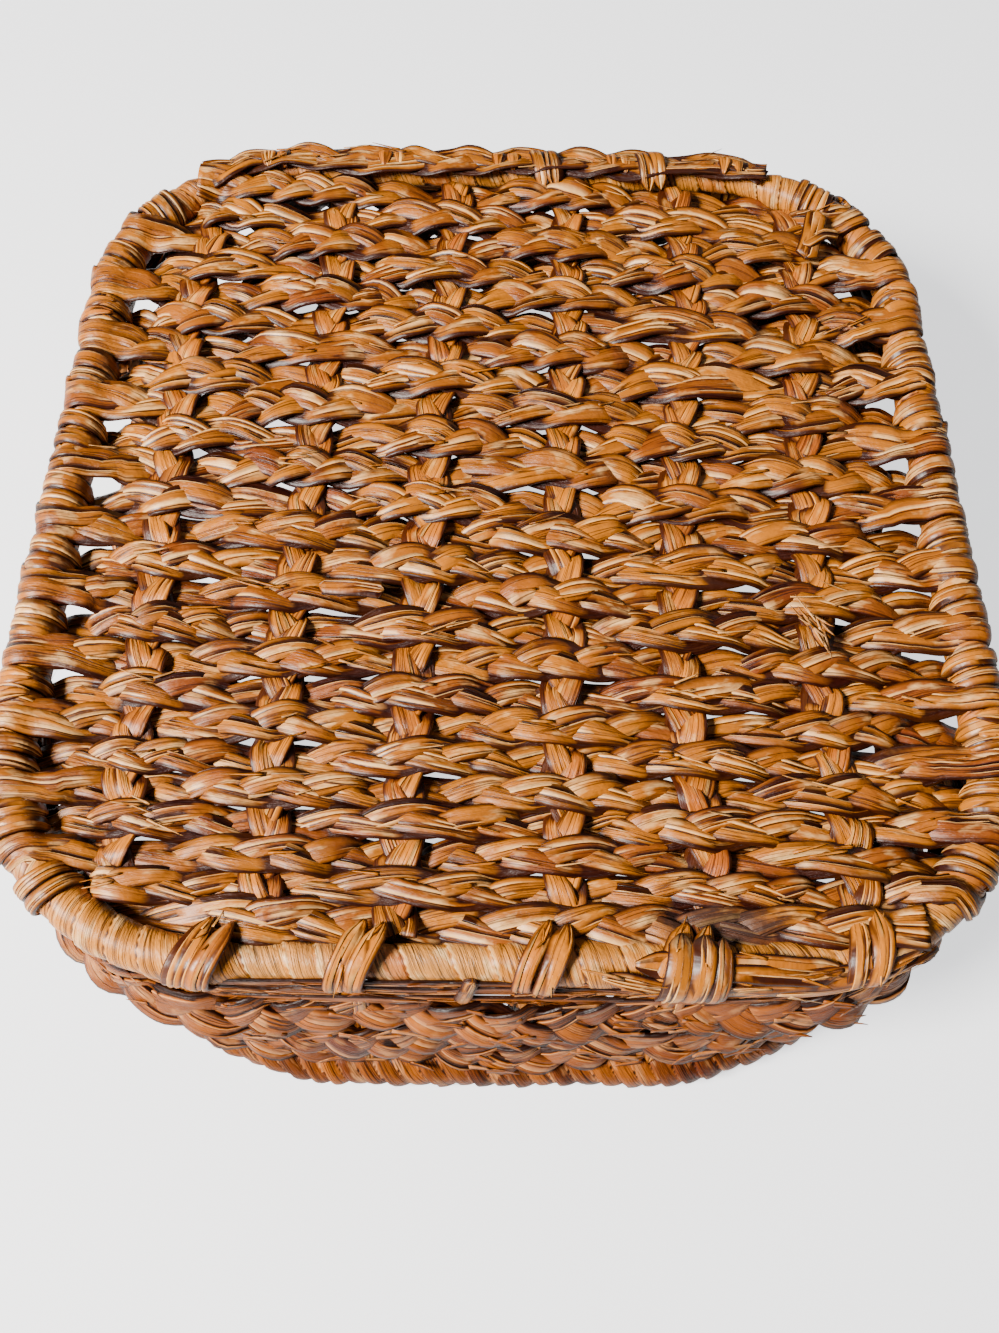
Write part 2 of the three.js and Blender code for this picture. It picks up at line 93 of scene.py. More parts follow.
camera_data = bpy.data.cameras.new("camera")
camera = put_in_scene("camera", camera_data)
camera_data.sensor_width = SENSOR_MM
camera_data.lens = FOCAL_PX / FRAME_HEIGHT_PX * SENSOR_MM
camera_data.clip_start = NEAREST_SEEN
camera_place = np.array(BASE_CENTRE) + np.array(CAMERA_FROM_BASE)
camera.matrix_world = seated(CAMERA_RIGHT, -np.array(CAMERA_DOWN), -np.array(CAMERA_FORWARD),
                             camera_place)
bpy.context.scene.camera = camera
print("camera at", camera_place.round(4), "lens", round(camera_data.lens, 2))

# %% [markdown]
# ## The two rings, as paths
#
# Everything in the basket hangs on the rail, so the rail's centre line is the ruler of the whole
# scene: a rounded rectangle, measured by length from the middle of the front, round to the right.
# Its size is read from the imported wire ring, a tube of eight flat sides. A curve object could hold
# the line, but a table of its points is quicker to ask: it is made once, and any place is then
# looked up, which keeps every later step a plain array sum.
#
# The mouth is a rounder rectangle further out. Its distance from the rail is worked out for the
# same table, so the lean of the walls comes from two looked-up numbers.

# %% The rail's centre line as a ruler
MM = 0.001
WIRE_RADIUS = 2 * MM
WIRE_SIDES = 8
WIRE_REACH = WIRE_RADIUS * math.cos(math.pi / WIRE_SIDES)
RAIL_CORNER = 75 * MM
RAIL_RADIUS = 6.5 * MM
RIM_RADIUS = 8 * MM
MOUTH_CORNER = 115 * MM
LOOP_STEP = 0.5 * MM
MOUTH_STEPS = 12

wire_low, wire_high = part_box("rail_wire")
HALF_WIDTH = wire_high.x - WIRE_REACH
HALF_LENGTH = wire_high.y - WIRE_REACH
STRAIGHT_X = HALF_WIDTH - RAIL_CORNER
STRAIGHT_Y = HALF_LENGTH - RAIL_CORNER
RAIL_HEIGHT = (wire_low.z + wire_high.z) / 2
rim_low, rim_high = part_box("rim_wire")
RIM_HEIGHT = (rim_low.z + rim_high.z) / 2
MOUTH_FLAT_X = rim_high.x - WIRE_REACH - MOUTH_CORNER
MOUTH_FLAT_Y = rim_high.y - WIRE_REACH - MOUTH_CORNER


def loop_table():
    """Rounded rectangle by length: straight runs joined by quarter circles, with outward normals.
    A run holds its length, then for a line its start and heading in degrees, and for an arc its
    centre and first angle."""
    arc = RAIL_CORNER * math.pi / 2
    runs = [("line", STRAIGHT_X, 0, -HALF_LENGTH, 0),
            ("arc", arc, STRAIGHT_X, -STRAIGHT_Y, -90),
            ("line", 2 * STRAIGHT_Y, HALF_WIDTH, -STRAIGHT_Y, 90),
            ("arc", arc, STRAIGHT_X, STRAIGHT_Y, 0),
            ("line", 2 * STRAIGHT_X, STRAIGHT_X, HALF_LENGTH, 180),
            ("arc", arc, -STRAIGHT_X, STRAIGHT_Y, 90),
            ("line", 2 * STRAIGHT_Y, -HALF_WIDTH, STRAIGHT_Y, 270),
            ("arc", arc, -STRAIGHT_X, -STRAIGHT_Y, 180),
            ("line", STRAIGHT_X, -STRAIGHT_X, -HALF_LENGTH, 0)]
    rows = []
    begin = 0.0
    for kind, length, x, y, degrees in runs:
        rest = np.linspace(0, length, max(2, int(length / LOOP_STEP)))
        heading = math.radians(degrees)
        if kind == "arc":
            turn = heading + rest / RAIL_CORNER
            out_x, out_y = np.cos(turn), np.sin(turn)
            run = [begin + rest, x + RAIL_CORNER * out_x, y + RAIL_CORNER * out_y, out_x, out_y]
        else:
            out_x = np.full_like(rest, math.sin(heading))
            out_y = np.full_like(rest, -math.cos(heading))
            run = [begin + rest, x + rest * math.cos(heading), y + rest * math.sin(heading),
                   out_x, out_y]
        rows.append(np.stack(run))
        begin += length
    return np.concatenate(rows, axis=1), begin


LOOP, LOOP_LENGTH = loop_table()


def loop_point(along, out, height):
    """Point of the loop at a length, moved outwards by out and lifted to a height."""
    along = np.mod(along, LOOP_LENGTH)
    x, y, out_x, out_y = (np.interp(along, LOOP[0], LOOP[i]) for i in range(1, 5))
    return np.stack([x + out * out_x, y + out * out_y, height + np.zeros_like(along)], axis=-1)


def mouth_gap(along):
    """How far outside the rail the mouth lies, straight out from the loop: the distance to a
    rounder rectangle, found by stepping out by what is still missing."""
    at = loop_point(along, 0.0, 0.0)
    outward = loop_point(along, 1.0, 0.0) - at
    out = np.zeros(len(at))
    for _ in range(MOUTH_STEPS):
        x = np.abs(at[:, 0] + out * outward[:, 0]) - MOUTH_FLAT_X
        y = np.abs(at[:, 1] + out * outward[:, 1]) - MOUTH_FLAT_Y
        corner = np.hypot(np.maximum(x, 0), np.maximum(y, 0))
        out -= corner + np.minimum(np.maximum(x, y), 0) - MOUTH_CORNER
    return out


MOUTH = mouth_gap(LOOP[0])


def mouth_out(along):
    """The mouth's distance outside the rail at a length of the loop, from the table."""
    return np.interp(np.mod(along, LOOP_LENGTH), LOOP[0], MOUTH)


def along_of(node):
    """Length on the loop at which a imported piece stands: the nearest point to its box's middle."""
    low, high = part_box(node)
    gap = np.hypot(LOOP[1] - (low.x + high.x) / 2, LOOP[2] - (low.y + high.y) / 2)
    return float(LOOP[0][np.argmin(gap)])


print("rail:", round(HALF_WIDTH / MM, 1), "x", round(HALF_LENGTH / MM, 1), "mm half sizes,",
      round(LOOP_LENGTH / MM), "mm round")

# %% [markdown]
# ## Unevenness that repeats
#
# Nothing in a hand-made basket is regular, and a plait with equal strands looks like rope. Each
# measure below is therefore stirred by noise. Random numbers drawn one by one would change with
# every edit, so each use has a seed of its own, and the noise is a smooth curve through them.

# %% Noise on a line, paths and frames
UP = (0.0, 0.0, 1.0)


def eased(share):
    """A share of 0..1 that starts and ends gently: share squared times 3 - 2 share."""
    return share * share * (3 - 2 * share)


def wander(places, step, seed):
    """Smooth noise in -1..1: a random value at each multiple of step, eased from one to the next.
    Places and step are metres, so the step is the length over which it changes."""
    scaled = np.asarray(places, float) / step
    low = np.floor(scaled).astype(int)
    share = eased(scaled - low)
    low -= low.min()
    table = np.random.default_rng(seed).uniform(-1, 1, low.max() + 2)
    return table[low] * (1 - share) + table[low + 1] * share


def unit(vectors):
    """Each vector divided by its length."""
    return vectors / np.linalg.norm(vectors, axis=-1, keepdims=True)


def even_path(points, step, soften):
    """A polyline cut at an even step, its corners rounded by a moving average of soften metres."""
    points = np.asarray(points, float)
    run = np.concatenate([[0], np.cumsum(np.linalg.norm(np.diff(points, axis=0), axis=1))])
    count = max(4, int(round(run[-1] / step)))
    places = np.linspace(0, run[-1], count + 1)
    path = np.stack([np.interp(places, run, points[:, i]) for i in range(3)], axis=1)
    half = max(1, int(soften / step / 2))
    weights = np.hanning(2 * half + 3)[1:-1]
    weights /= weights.sum()
    before = 2 * path[0] - path[half:0:-1]
    after = 2 * path[-1] - path[-2:-half - 2:-1]
    padded = np.concatenate([before, path, after])
    smooth = [np.convolve(padded[:, i], weights, mode="valid") for i in range(3)]
    return np.stack(smooth, axis=1), places


def path_frames(path, hint):
    """Tangent, across and through at each point: across is hint made square to the tangent."""
    tangent = unit(np.gradient(path, axis=0))
    hint = np.broadcast_to(np.asarray(hint, float), path.shape)
    across = unit(hint - (hint * tangent).sum(1, keepdims=True) * tangent)
    return tangent, across, np.cross(tangent, across)


print("noise repeats:", wander([0.0, 1.3], 1.0, 5).round(3))

# %% [markdown]
# ## A leaf strand
#
# A strand of the plait is a strip of dry leaf folded on itself, about ten millimetres wide and
# three thick. Where it was folded, one layer ends in a sharp step on the next, and these
# steps run along the whole strand: they are what makes it look like leaf and not like rope. A
# bevelled curve has the same section all the way. Here the strand is a grid instead: one
# direction goes round the strip and the other goes along it.
#
# A step is only crisp if corners of the mesh lie right on both its sides, so the columns of the
# grid aren't evenly spaced. Two of them follow each step as it wanders along the strand.
#
# Each grid carries a UV map in centimetres, across the strip and along it, and two values that
# the finish reads later: how deep in a fold a point lies, which it paints as shade (below zero
# on a crest, which it paints paler, as wear and painted highlight), and which tone its leaf has.

# %% The section and the skin of a strand
# Places across the strip are in half widths, from -1 to 1, and depths in half thicknesses.
BACK_FOLDS, BACK_DEPTH = (-0.45, 0.05, 0.5), 0.95
UNDER_FOLDS, UNDER_DEPTH = (-0.35, 0.35), 0.5
FOLD_REACH = 0.16
STEP_HALF = 0.022
STEP_FOOT = 0.12
CALM = 0.32
# A dip this deep gets the full painted shade of its fold
DARK_DIP = 0.22
EASED_DIP = 0.7
# How much paler a crest is, as wear and painted highlight
CREST_WEAR_AND_SHEEN = 0.8
BACK_EDGE, UNDER_EDGE = 0.88, 0.86
FLATNESS = 3.2
RAGGED = 0.12
STRIP_CM = 0.8
CM_PER_M = 100


def fold_columns(along, rest, depth, seed):
    """Three columns at each fold, from -x to +x: the place before the step, after it and a bit on,
    with how far each lies under the strip's back and how dark it is. A fold fades out where its
    noise is calm, and changes sides where the noise changes sign."""
    places, dips, dark = [], [], []
    for number, middle in enumerate(rest):
        centre = middle + FOLD_REACH * wander(along, 0.033, seed + 11 * number)
        drop = wander(along, 0.024, seed + 5 + 7 * number)
        drop = depth * np.sign(drop) * np.maximum(np.abs(drop) - CALM, 0) / (1 - CALM)
        before, after = np.maximum(-drop, 0), np.maximum(drop, 0)
        # Painted shade on the low side of each step; its high side, the crest, is paler, as wear and
        # painted highlight
        shade_before = np.clip(before / DARK_DIP, 0, 1)
        shade_after = np.clip(after / DARK_DIP, 0, 1)
        places += [centre - STEP_HALF, centre + STEP_HALF, centre + STEP_FOOT]
        dips += [before, after, EASED_DIP * after]
        dark += [shade_before - CREST_WEAR_AND_SHEEN * shade_after, shade_after - CREST_WEAR_AND_SHEEN * shade_before,
                 0.15 * shade_after]
    return places, dips, dark


def leaf_section(width, thickness, along, seed, folds):
    """Ring of a folded strip: height = square root of 1 - |x|^3.2, less the dip after each fold,
    on the upper side from -x to +x and on the lower side back again. The edges are ragged by
    noise, each by its own."""
    zero = np.zeros(len(along))
    places, dips, dark = fold_columns(along, BACK_FOLDS, BACK_DEPTH * folds, seed)
    under = [columns[::-1] for columns in fold_columns(along, UNDER_FOLDS, UNDER_DEPTH * folds,
                                                       seed + 60)]
    # The strip's edges get painted shade: full at the very edge, 0.6 at the back's edge columns and
    # 0.3 at the underside's
    sides = [([-1 + zero, -BACK_EDGE + zero] + places + [BACK_EDGE + zero, 1 + zero],
              [zero, zero] + dips + [zero, zero],
              [1 + zero, 0.6 + zero] + dark + [0.6 + zero, 1 + zero], 1),
             ([UNDER_EDGE + zero] + under[0] + [-UNDER_EDGE + zero],
              [zero] + under[1] + [zero],
              [0.3 + zero] + under[2] + [0.3 + zero], -1)]
    x = np.stack(sides[0][0] + sides[1][0], axis=1)
    dip = np.stack(sides[0][1] + sides[1][1], axis=1)
    hollow = np.stack(sides[0][2] + sides[1][2], axis=1)
    face = np.array([side[3] for side in sides for _ in side[0]])
    height = face * np.sqrt(np.clip(1 - np.abs(x) ** FLATNESS, 0, 1)) * (1 - dip)
    ragged = 1 + RAGGED * np.stack([wander(along, 0.008, seed + 80),
                                    wander(along, 0.010, seed + 81)])
    reach = x * np.where(x < 0, ragged[0][:, None], ragged[1][:, None])
    section = np.stack([reach * width[:, None] / 2, height * thickness[:, None] / 2], axis=-1)
    across = np.where(face > 0, (1 + x) / 2, 1 + (1 - x) / 2) * STRIP_CM
    across = np.concatenate([across, 2 * STRIP_CM + zero[:, None]], axis=1) + 1.7 * (seed % 997)
    return section, hollow, across


def strand_skin(centre, wide, deep, width, thickness, along, seed, tone, shade, folds):
    """A skin of rings: each is centre + across * wide + height * deep. Its shade, a painted shade,
    darkens it.
    """
    section, hollow, across = leaf_section(width, thickness, along, seed, folds)
    rings = (centre[:, None] + section[..., :1] * wide[:, None]
             + section[..., 1:] * deep[:, None])
    hollow = np.clip(hollow + shade[:, None], -1, 1)
    return {"rings": rings, "hollow": hollow, "tone": np.broadcast_to(tone[:, None], hollow.shape),
            "across": across, "closed": False,
            "along": np.broadcast_to(along[:, None] * CM_PER_M, across.shape)}


sample, _, _ = leaf_section(np.ones(2), np.ones(2), np.arange(2.0), 1, 1.0)
print("a ring of a strand has", sample.shape[1], "points")

# %% [markdown]
# ## From skins to a mesh
#
# Blender could loft these rings with a modifier, or bmesh could add them face by face in Python.
# Both are slow for half a million points. The whole mesh is worked out as arrays instead, corner
# numbers included, and handed over in a few calls. Open skins get a flat face at each end, so
# that every strand is a closed body. A skin whose rings run the wrong way round is mirrored first,
# so that its faces point outwards.

# %% Mesh from skins
# What a skin holds for each of its points, ring by ring
SKIN_GRIDS = ("rings", "hollow", "tone", "across", "along")


def skin_faces(skin, first):
    """Corner numbers of one skin: a quad for each cell of the grid, and a cap for each open end."""
    rows, sides = skin["hollow"].shape
    last = rows if skin["closed"] else rows - 1
    row, side = np.meshgrid(np.arange(last), np.arange(sides), indexing="ij")
    row_next, side_next = (row + 1) % rows, (side + 1) % sides
    quads = np.stack([row * sides + side, row * sides + side_next,
                      row_next * sides + side_next, row_next * sides + side], axis=-1)
    flat = np.stack([skin["across"], skin["along"]], axis=-1)
    uv = np.stack([flat[row, side], flat[row, side + 1],
                   flat[row + 1, side + 1], flat[row + 1, side]], axis=2)
    corners = [quads.reshape(-1) + first]
    coordinates = [uv.reshape(-1, 2)]
    totals = [np.full(last * sides, 4)]
    if not skin["closed"]:
        ring = np.arange(sides)
        for start, order in ((0, ring[::-1]), ((rows - 1) * sides, ring)):
            corners.append(start + order + first)
            edge = 0 if start == 0 else rows - 1
            coordinates.append(flat[edge, order])
            totals.append(np.array([sides]))
    return corners, coordinates, totals


def inside_out(skin):
    """Whether a skin's quads face inwards: a face's normal, against the way out of its ring."""
    rings = skin["rings"]
    middle = len(rings) // 2
    centre = rings[middle].mean(0)
    normal = np.cross(rings[middle, 1] - rings[middle, 0], rings[middle + 1, 0] - rings[middle, 0])
    return float(normal @ (rings[middle, 0] - centre)) < 0


def make_piece(name, skins, material, replaced):
    """One object from several skins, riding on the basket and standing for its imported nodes."""
    points, corners, coordinates, totals, hollow, tone = [], [], [], [], [], []
    first = 0
    for skin in skins:
        if inside_out(skin):
            skin = dict(skin)
            for key in SKIN_GRIDS:
                skin[key] = skin[key][:, ::-1]
        parts = skin_faces(skin, first)
        corners += parts[0]
        coordinates += parts[1]
        totals += parts[2]
        points.append(skin["rings"].reshape(-1, 3))
        hollow.append(skin["hollow"].reshape(-1))
        tone.append(skin["tone"].reshape(-1))
        first += len(points[-1])
    points = np.concatenate(points)
    corners = np.concatenate(corners)
    totals = np.concatenate(totals)
    mesh = bpy.data.meshes.new(name)
    mesh.vertices.add(len(points))
    mesh.vertices.foreach_set("co", points.astype(np.float32).ravel())
    mesh.loops.add(len(corners))
    mesh.loops.foreach_set("vertex_index", corners.astype(np.int32))
    mesh.polygons.add(len(totals))
    starts = np.concatenate([[0], np.cumsum(totals)[:-1]])
    mesh.polygons.foreach_set("loop_start", starts.astype(np.int32))
    mesh.polygons.foreach_set("use_smooth", np.ones(len(totals), bool))
    uv = mesh.uv_layers.new(name="strip")
    uv.data.foreach_set("uv", np.concatenate(coordinates).astype(np.float32).ravel())
    for key, values in (("hollow", hollow), ("tone", tone)):
        layer = mesh.attributes.new(key, "FLOAT", "POINT")
        layer.data.foreach_set("value", np.concatenate(values).astype(np.float32))
    mesh.update(calc_edges=True)
    mesh.validate()
    mesh.materials.append(material)
    made = put_in_scene(name, mesh)
    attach(made, "root")
    if replaced:
        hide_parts(*replaced)


print("skins close their ends with one face each")

# %% [markdown]
# ## The three-strand plait
#
# In a flat plait each strand swings from edge to edge and is on top on its way out, under on its
# way back in. Three tubes could be drawn by hand through a few points, but the swing is a simple
# formula: sideways it is a sine of the length, and up and down it is a sine twice as fast, which
# traces a lying figure eight. The three strands follow it a third of a turn apart. The strip
# leans outwards where it is on top, is widest there and narrows at the folds at the edges.
#
# Where a plait is laid flat on something, such as the rail, its strands open out and lie nearly
# parallel. The same formula does this with a slower turn, so a plait can go from one to the other.

# %% Plait along any path
RING_STEP = 2.1 * MM
FOLD_SHARPNESS = 0.9
OVER_SHARPNESS = 1.5
# Shares of the plait's width
SWING = 0.25
STRAND_WIDTH, FOLD_NARROWING = 0.57, 0.11
HALF_REACH = 0.53
# Shares of the plait's thickness
STRAND_LIFT = 0.21
STRAND_THICKNESS = 0.42
# How much painted shade the plait's edges and its lower side get, and the share of its half
# width or half thickness from which that begins
EDGE_DARK, EDGE_FROM = 0.8, 0.66
UNDER_DARK, UNDER_FROM = 0.7, 0.05
# Radians that a strand leans, and how a laid plait differs
STRAND_LEAN = 0.24
LAID_SLOWER = 0.85
LAID_CROWN = 2.4 * MM
# How far noise stirs each measure: as a share of it, or in radians for turns and the lean
SWING_NOISE, FINE_SWING_NOISE = 0.08, 0.04
TURN_NOISE, OWN_TURN_NOISE, LEAN_NOISE = 1.1, 0.30, 0.20
LIFT_NOISE, WIDTH_NOISE, THICKNESS_NOISE = 0.2, 0.16, 0.14
ASIDE_NOISE = 0.35 * MM


def plait(path, along, hint, width, thickness, repeat, seed, reddish=0.0, parallel=0.0,
          folds=1.0, open_side=None, way=1.0):
    """Three strands round a path. Sideways each follows arcsin(0.9 sin(turn)), straight runs with
    tight folds, and up and down tanh(1.5 sin(2 turn)). The turn grows by a full circle in each
    repeat, less where the strands lie parallel, and falls where way is -1, which turns the V
    marks round. What lies at the plait's edges or away from its open side is darker. Where
    parallel is 1, the strands sink by the crown times the square of their share of the half
    width, so that the edges of a lap come down on the rail."""
    _, across, through = path_frames(path, hint)
    facing = np.ones_like(along)
    if open_side is not None:
        facing = np.tanh(4 * (through * open_side).sum(1))
    width = np.broadcast_to(width, along.shape)
    thickness = np.broadcast_to(thickness, along.shape)
    parallel = np.broadcast_to(parallel, along.shape)
    uneven = SWING_NOISE * wander(along, 0.06, seed)
    uneven = uneven + FINE_SWING_NOISE * wander(along, 0.02, seed + 1)
    rate = way * 2 * math.pi / repeat * (1 - LAID_SLOWER * parallel)
    base_turn = np.cumsum(rate) * (along[1] - along[0])
    base_turn = base_turn + TURN_NOISE * wander(along, 0.07, seed + 2)
    skins = []
    for number in range(3):
        own = seed + 100 * (number + 1)
        turn = base_turn + number * 2 * math.pi / 3 + OWN_TURN_NOISE * wander(along, 0.03, own)
        swing = SWING * width * (1 + uneven)
        side = np.arcsin(FOLD_SHARPNESS * np.sin(turn)) / math.asin(FOLD_SHARPNESS)
        over = np.tanh(OVER_SHARPNESS * np.sin(2 * turn)) / math.tanh(OVER_SHARPNESS)
        lift = STRAND_LIFT * thickness * (1 + LIFT_NOISE * wander(along, 0.025, own + 1))
        centre = path + across * (swing * side)[:, None] + through * (lift * over)[:, None]
        centre += across * (ASIDE_NOISE * wander(along, 0.017, own + 2))[:, None]
        own_tangent = unit(np.gradient(centre, axis=0))
        deep = unit(through - (through * own_tangent).sum(1, keepdims=True) * own_tangent)
        wide = np.cross(own_tangent, deep)
        lean = -STRAND_LEAN * over * side + LEAN_NOISE * wander(along, 0.02, own + 3)
        tilted_wide = wide * np.cos(lean)[:, None] + deep * np.sin(lean)[:, None]
        tilted_deep = deep * np.cos(lean)[:, None] - wide * np.sin(lean)[:, None]
        strip = width * (STRAND_WIDTH - FOLD_NARROWING * side ** 4)
        strip = strip * (1 + WIDTH_NOISE * wander(along, 0.028, own + 4))
        thick = thickness * STRAND_THICKNESS
        thick = thick * (1 + THICKNESS_NOISE * wander(along, 0.02, own + 5))
        segment = np.floor((turn + math.pi / 4) / math.pi).astype(int)
        segment -= segment.min()
        draw = np.random.default_rng(own + 6).uniform(0, 1, segment.max() + 1)
        slow = 0.5 + 0.5 * wander(along, 0.11, own + 7)
        tone = np.clip(0.5 * draw[segment] + 0.5 * slow + reddish, 0, 1)
        # Painted shade on a strand where it lies under the others, as seen from the open side
        shade = np.clip(-over * facing, 0, 1) ** 2 * (1 - parallel)
        skin = strand_skin(centre, tilted_wide, tilted_deep, strip, thick, along, own + 8, tone,
                           shade, folds)
        # Painted shade at the plait's edges, between the rows, and on its lower side; none on a lap
        off = skin["rings"] - path[:, None]
        aside = np.abs((off * across[:, None]).sum(2)) / (HALF_REACH * width)[:, None]
        below = -((off * through[:, None]).sum(2) * facing[:, None])
        dim = EDGE_DARK * np.clip((aside - EDGE_FROM) / (1 - EDGE_FROM), 0, 1)
        dim = dim + UNDER_DARK * np.clip(below / (0.5 * thickness)[:, None] - UNDER_FROM, 0, 1)
        open_share = (1 - parallel)[:, None]
        skin["hollow"] = np.clip(skin["hollow"] + dim * open_share, -1, 1)
        sink = LAID_CROWN * (1 - open_share) * np.minimum(aside, 1.1) ** 2 * facing[:, None]
        skin["rings"] = skin["rings"] - sink[..., None] * through[:, None]
        skins.append(skin)
    return skins


print("plait: ring step", RING_STEP / MM, "mm")

# %% [markdown]
# ## Loose strips and slivers
#
# Not every leaf on the basket is plaited. Where a stake's end is lashed over the rail, its strips
# lie side by side, and here and there a thin sliver has split off a strand and stands up a little,
# pale at the break. Hair particles could stand for the slivers, but there are only about a
# thousand, so each is a small pointed blade with a diamond section, bent upwards by a parabola.

# %% Flat strips side by side
STRIP_WANDER = 0.5 * MM
STRIP_STAGGER = 0.5 * MM
STRIP_FOLDS = 0.7
STRIP_TAPER = 7 * MM
BLUNT_END = 0.06


def flat_strips(path, along, hint, places, width, thickness, seed, folds=STRIP_FOLDS,
                taper=STRIP_TAPER):
    """Strips that run side by side along a path, every second one a little higher. Towards its
    ends each narrows by the square root of the distance from the end over the taper."""
    _, across, through = path_frames(path, hint)
    skins = []
    for number, place in enumerate(places):
        own = seed + 50 * number
        side = place + STRIP_WANDER * wander(along, 0.02, own)
        rise = STRIP_STAGGER * (number % 2) + 0.3 * MM * wander(along, 0.03, own + 1)
        centre = path + across * side[:, None] + through * rise[:, None]
        end = np.minimum(along - along[0], along[-1] - along)
        pointed = np.sqrt(np.clip(end / taper, BLUNT_END, 1))
        strip = width * pointed * (1 + 0.14 * wander(along, 0.022, own + 2))
        tone = np.clip(0.35 + 0.4 * wander(along, 0.05, own + 3), 0, 1)
        skins.append(strand_skin(centre, across, through, strip, thickness + 0 * along, along,
                                 own + 8, tone, 0 * along, folds))
    return skins


print("strips narrow over the last", STRIP_TAPER / MM, "mm")


# %% Split slivers
SLIVER_RINGS = 6
SLIVER_SIDES = 4
SLIVER_LONG_MM = (6, 15)
SLIVER_HALF_MM = (0.35, 0.8)
SLIVER_RISE_MM = 1.6
SLIVER_THIN = 0.12 * MM
SLIVER_SLANT = 0.4


def slivers(path, hint, width, height, count, seed, up=None, among=None,
            long_mm=SLIVER_LONG_MM, half_mm=SLIVER_HALF_MM):
    """Blades on a plait's back: along the path plus a slant, tip raised by share squared. The back
    is the side that faces up, and among are the points of the path that may carry a blade."""
    tangent, across, through = path_frames(path, hint)
    if up is not None:
        through = through * np.sign(through @ np.array(up, float))[:, None]
    if among is None:
        among = np.arange(2, len(path) - 2)
    rng = np.random.default_rng(seed)
    share = np.linspace(0, 1, SLIVER_RINGS)[:, None]
    flat = np.zeros((SLIVER_RINGS, SLIVER_SIDES))
    skins = []
    for at in rng.choice(among, count):
        forward = tangent[at] * rng.choice((-1, 1))
        forward = unit(forward + across[at] * rng.uniform(-SLIVER_SLANT, SLIVER_SLANT))
        aside = unit(np.cross(through[at], forward))
        start = path[at] + across[at] * rng.uniform(-0.4, 0.4) * width + through[at] * height
        long = rng.uniform(*long_mm) * MM
        rise = through[at] * share ** 2 * rng.uniform(0, SLIVER_RISE_MM) * MM
        blade = start + forward * share * long + rise
        half = rng.uniform(*half_mm) * MM * np.sqrt(1 - 0.96 * share)
        thin = SLIVER_THIN * (1 - 0.8 * share)
        rings = np.stack([blade + aside * half, blade + through[at] * thin, blade - aside * half,
                          blade - through[at] * thin], axis=1)
        across_cm = np.broadcast_to(np.arange(SLIVER_SIDES + 1) * 0.05 + rng.uniform(0, 50),
                                    (SLIVER_RINGS, SLIVER_SIDES + 1))
        skins.append({"rings": rings, "hollow": flat + rng.uniform(-0.45, 0.1),
                      "tone": flat + rng.uniform(0, 0.5), "across": across_cm,
                      "along": np.broadcast_to(share * long * CM_PER_M, across_cm.shape),
                      "closed": False})
    return skins


print("sliver faces:", SLIVER_SIDES * (SLIVER_RINGS - 1) + 2)


# %% Strips laid over the rail
LEAST_RINGS = 8
DEGREES_A_RING = 8
OVER_SOFTENING = 4 * MM
OVER_TAPER = 4 * MM


def rail_point(place, degrees, radius):
    """Point at a place of the rail and an angle round it: centre + radius * (cos, sin)."""
    turn = np.radians(degrees)
    return loop_point(place, radius * np.cos(turn), RAIL_HEIGHT + radius * np.sin(turn))


def over_rail(place, first, last, radius, slant, seed, strips, thickness):
    """Strips laid over the rail at one place: the angle goes from first to last degrees while the
    place slides by slant. Each strip is given as its distance beside that path and its width."""
    rings = max(LEAST_RINGS, int(abs(first - last) / DEGREES_A_RING))
    share = np.linspace(-0.5, 0.5, rings)
    points = rail_point(place + slant * share, np.linspace(first, last, rings), radius)
    path, along = even_path(points, RING_STEP, OVER_SOFTENING)
    ahead = loop_point(np.array([place + MM, place]), 0.0, 0.0)
    skins = []
    for number, (aside, width) in enumerate(strips):
        skins += flat_strips(path, along, ahead[0] - ahead[1], (aside,), width, thickness,
                             seed + 40 * number, taper=OVER_TAPER)
    return skins


print("over the rail: a ring every", DEGREES_A_RING, "degrees")

# %% [markdown]
# ## Finishes
#
# The leaf is honey brown, paler and pinker in weathered patches on its crowns, which are partly
# painted highlight, and dark brown in the folds, which is painted shade, with fine fibres along
# the strip. A photograph of leaf could be wrapped round the strands, but here the finish is
# worked out, so that it stays sharp and follows each strand by its own UV map.
#
# All the leaf finishes share one node group. It draws the fibres as noise that is stretched along
# the strip, the cracks as thin dark lines of a slower noise, and soaked leaf as soft dark patches.
# Each material then sets its own colours. The rows also carry one dark stain, near the front right
# corner, which is an oval in the basket's own measures.

# %% The shared leaf group
def srgb(red, green, blue):
    """A screen colour, 0 to 255, as the linear colour that a shader needs."""
    share = np.array([red, green, blue]) / 255
    linear = np.where(share <= 0.04045, share / 12.92, ((share + 0.055) / 1.055) ** 2.4)
    return (*[float(v) for v in linear], 1.0)


def add_node(tree, kind, **settings):
    """A node with its plain settings; inputs are set by name through a dictionary."""
    node = tree.nodes.new(kind)
    for key, value in settings.items():
        if key == "inputs":
            for name, given in value.items():
                node.inputs[name].default_value = given
        else:
            setattr(node, key, value)
    return node


def new_material(name):
    """A material with its node tree and its Principled shader."""
    material = bpy.data.materials.new(name)
    material.use_nodes = True
    return material, material.node_tree, material.node_tree.nodes["Principled BSDF"]


def maths(tree, operation, first, second=None, clamp=False):
    """A Math node; each input is a socket or a number."""
    node = add_node(tree, "ShaderNodeMath", operation=operation, use_clamp=clamp)
    for place, given in enumerate((first, second)):
        if given is None:
            continue
        if isinstance(given, (int, float)):
            node.inputs[place].default_value = given
        else:
            tree.links.new(given, node.inputs[place])
    return node.outputs[0]


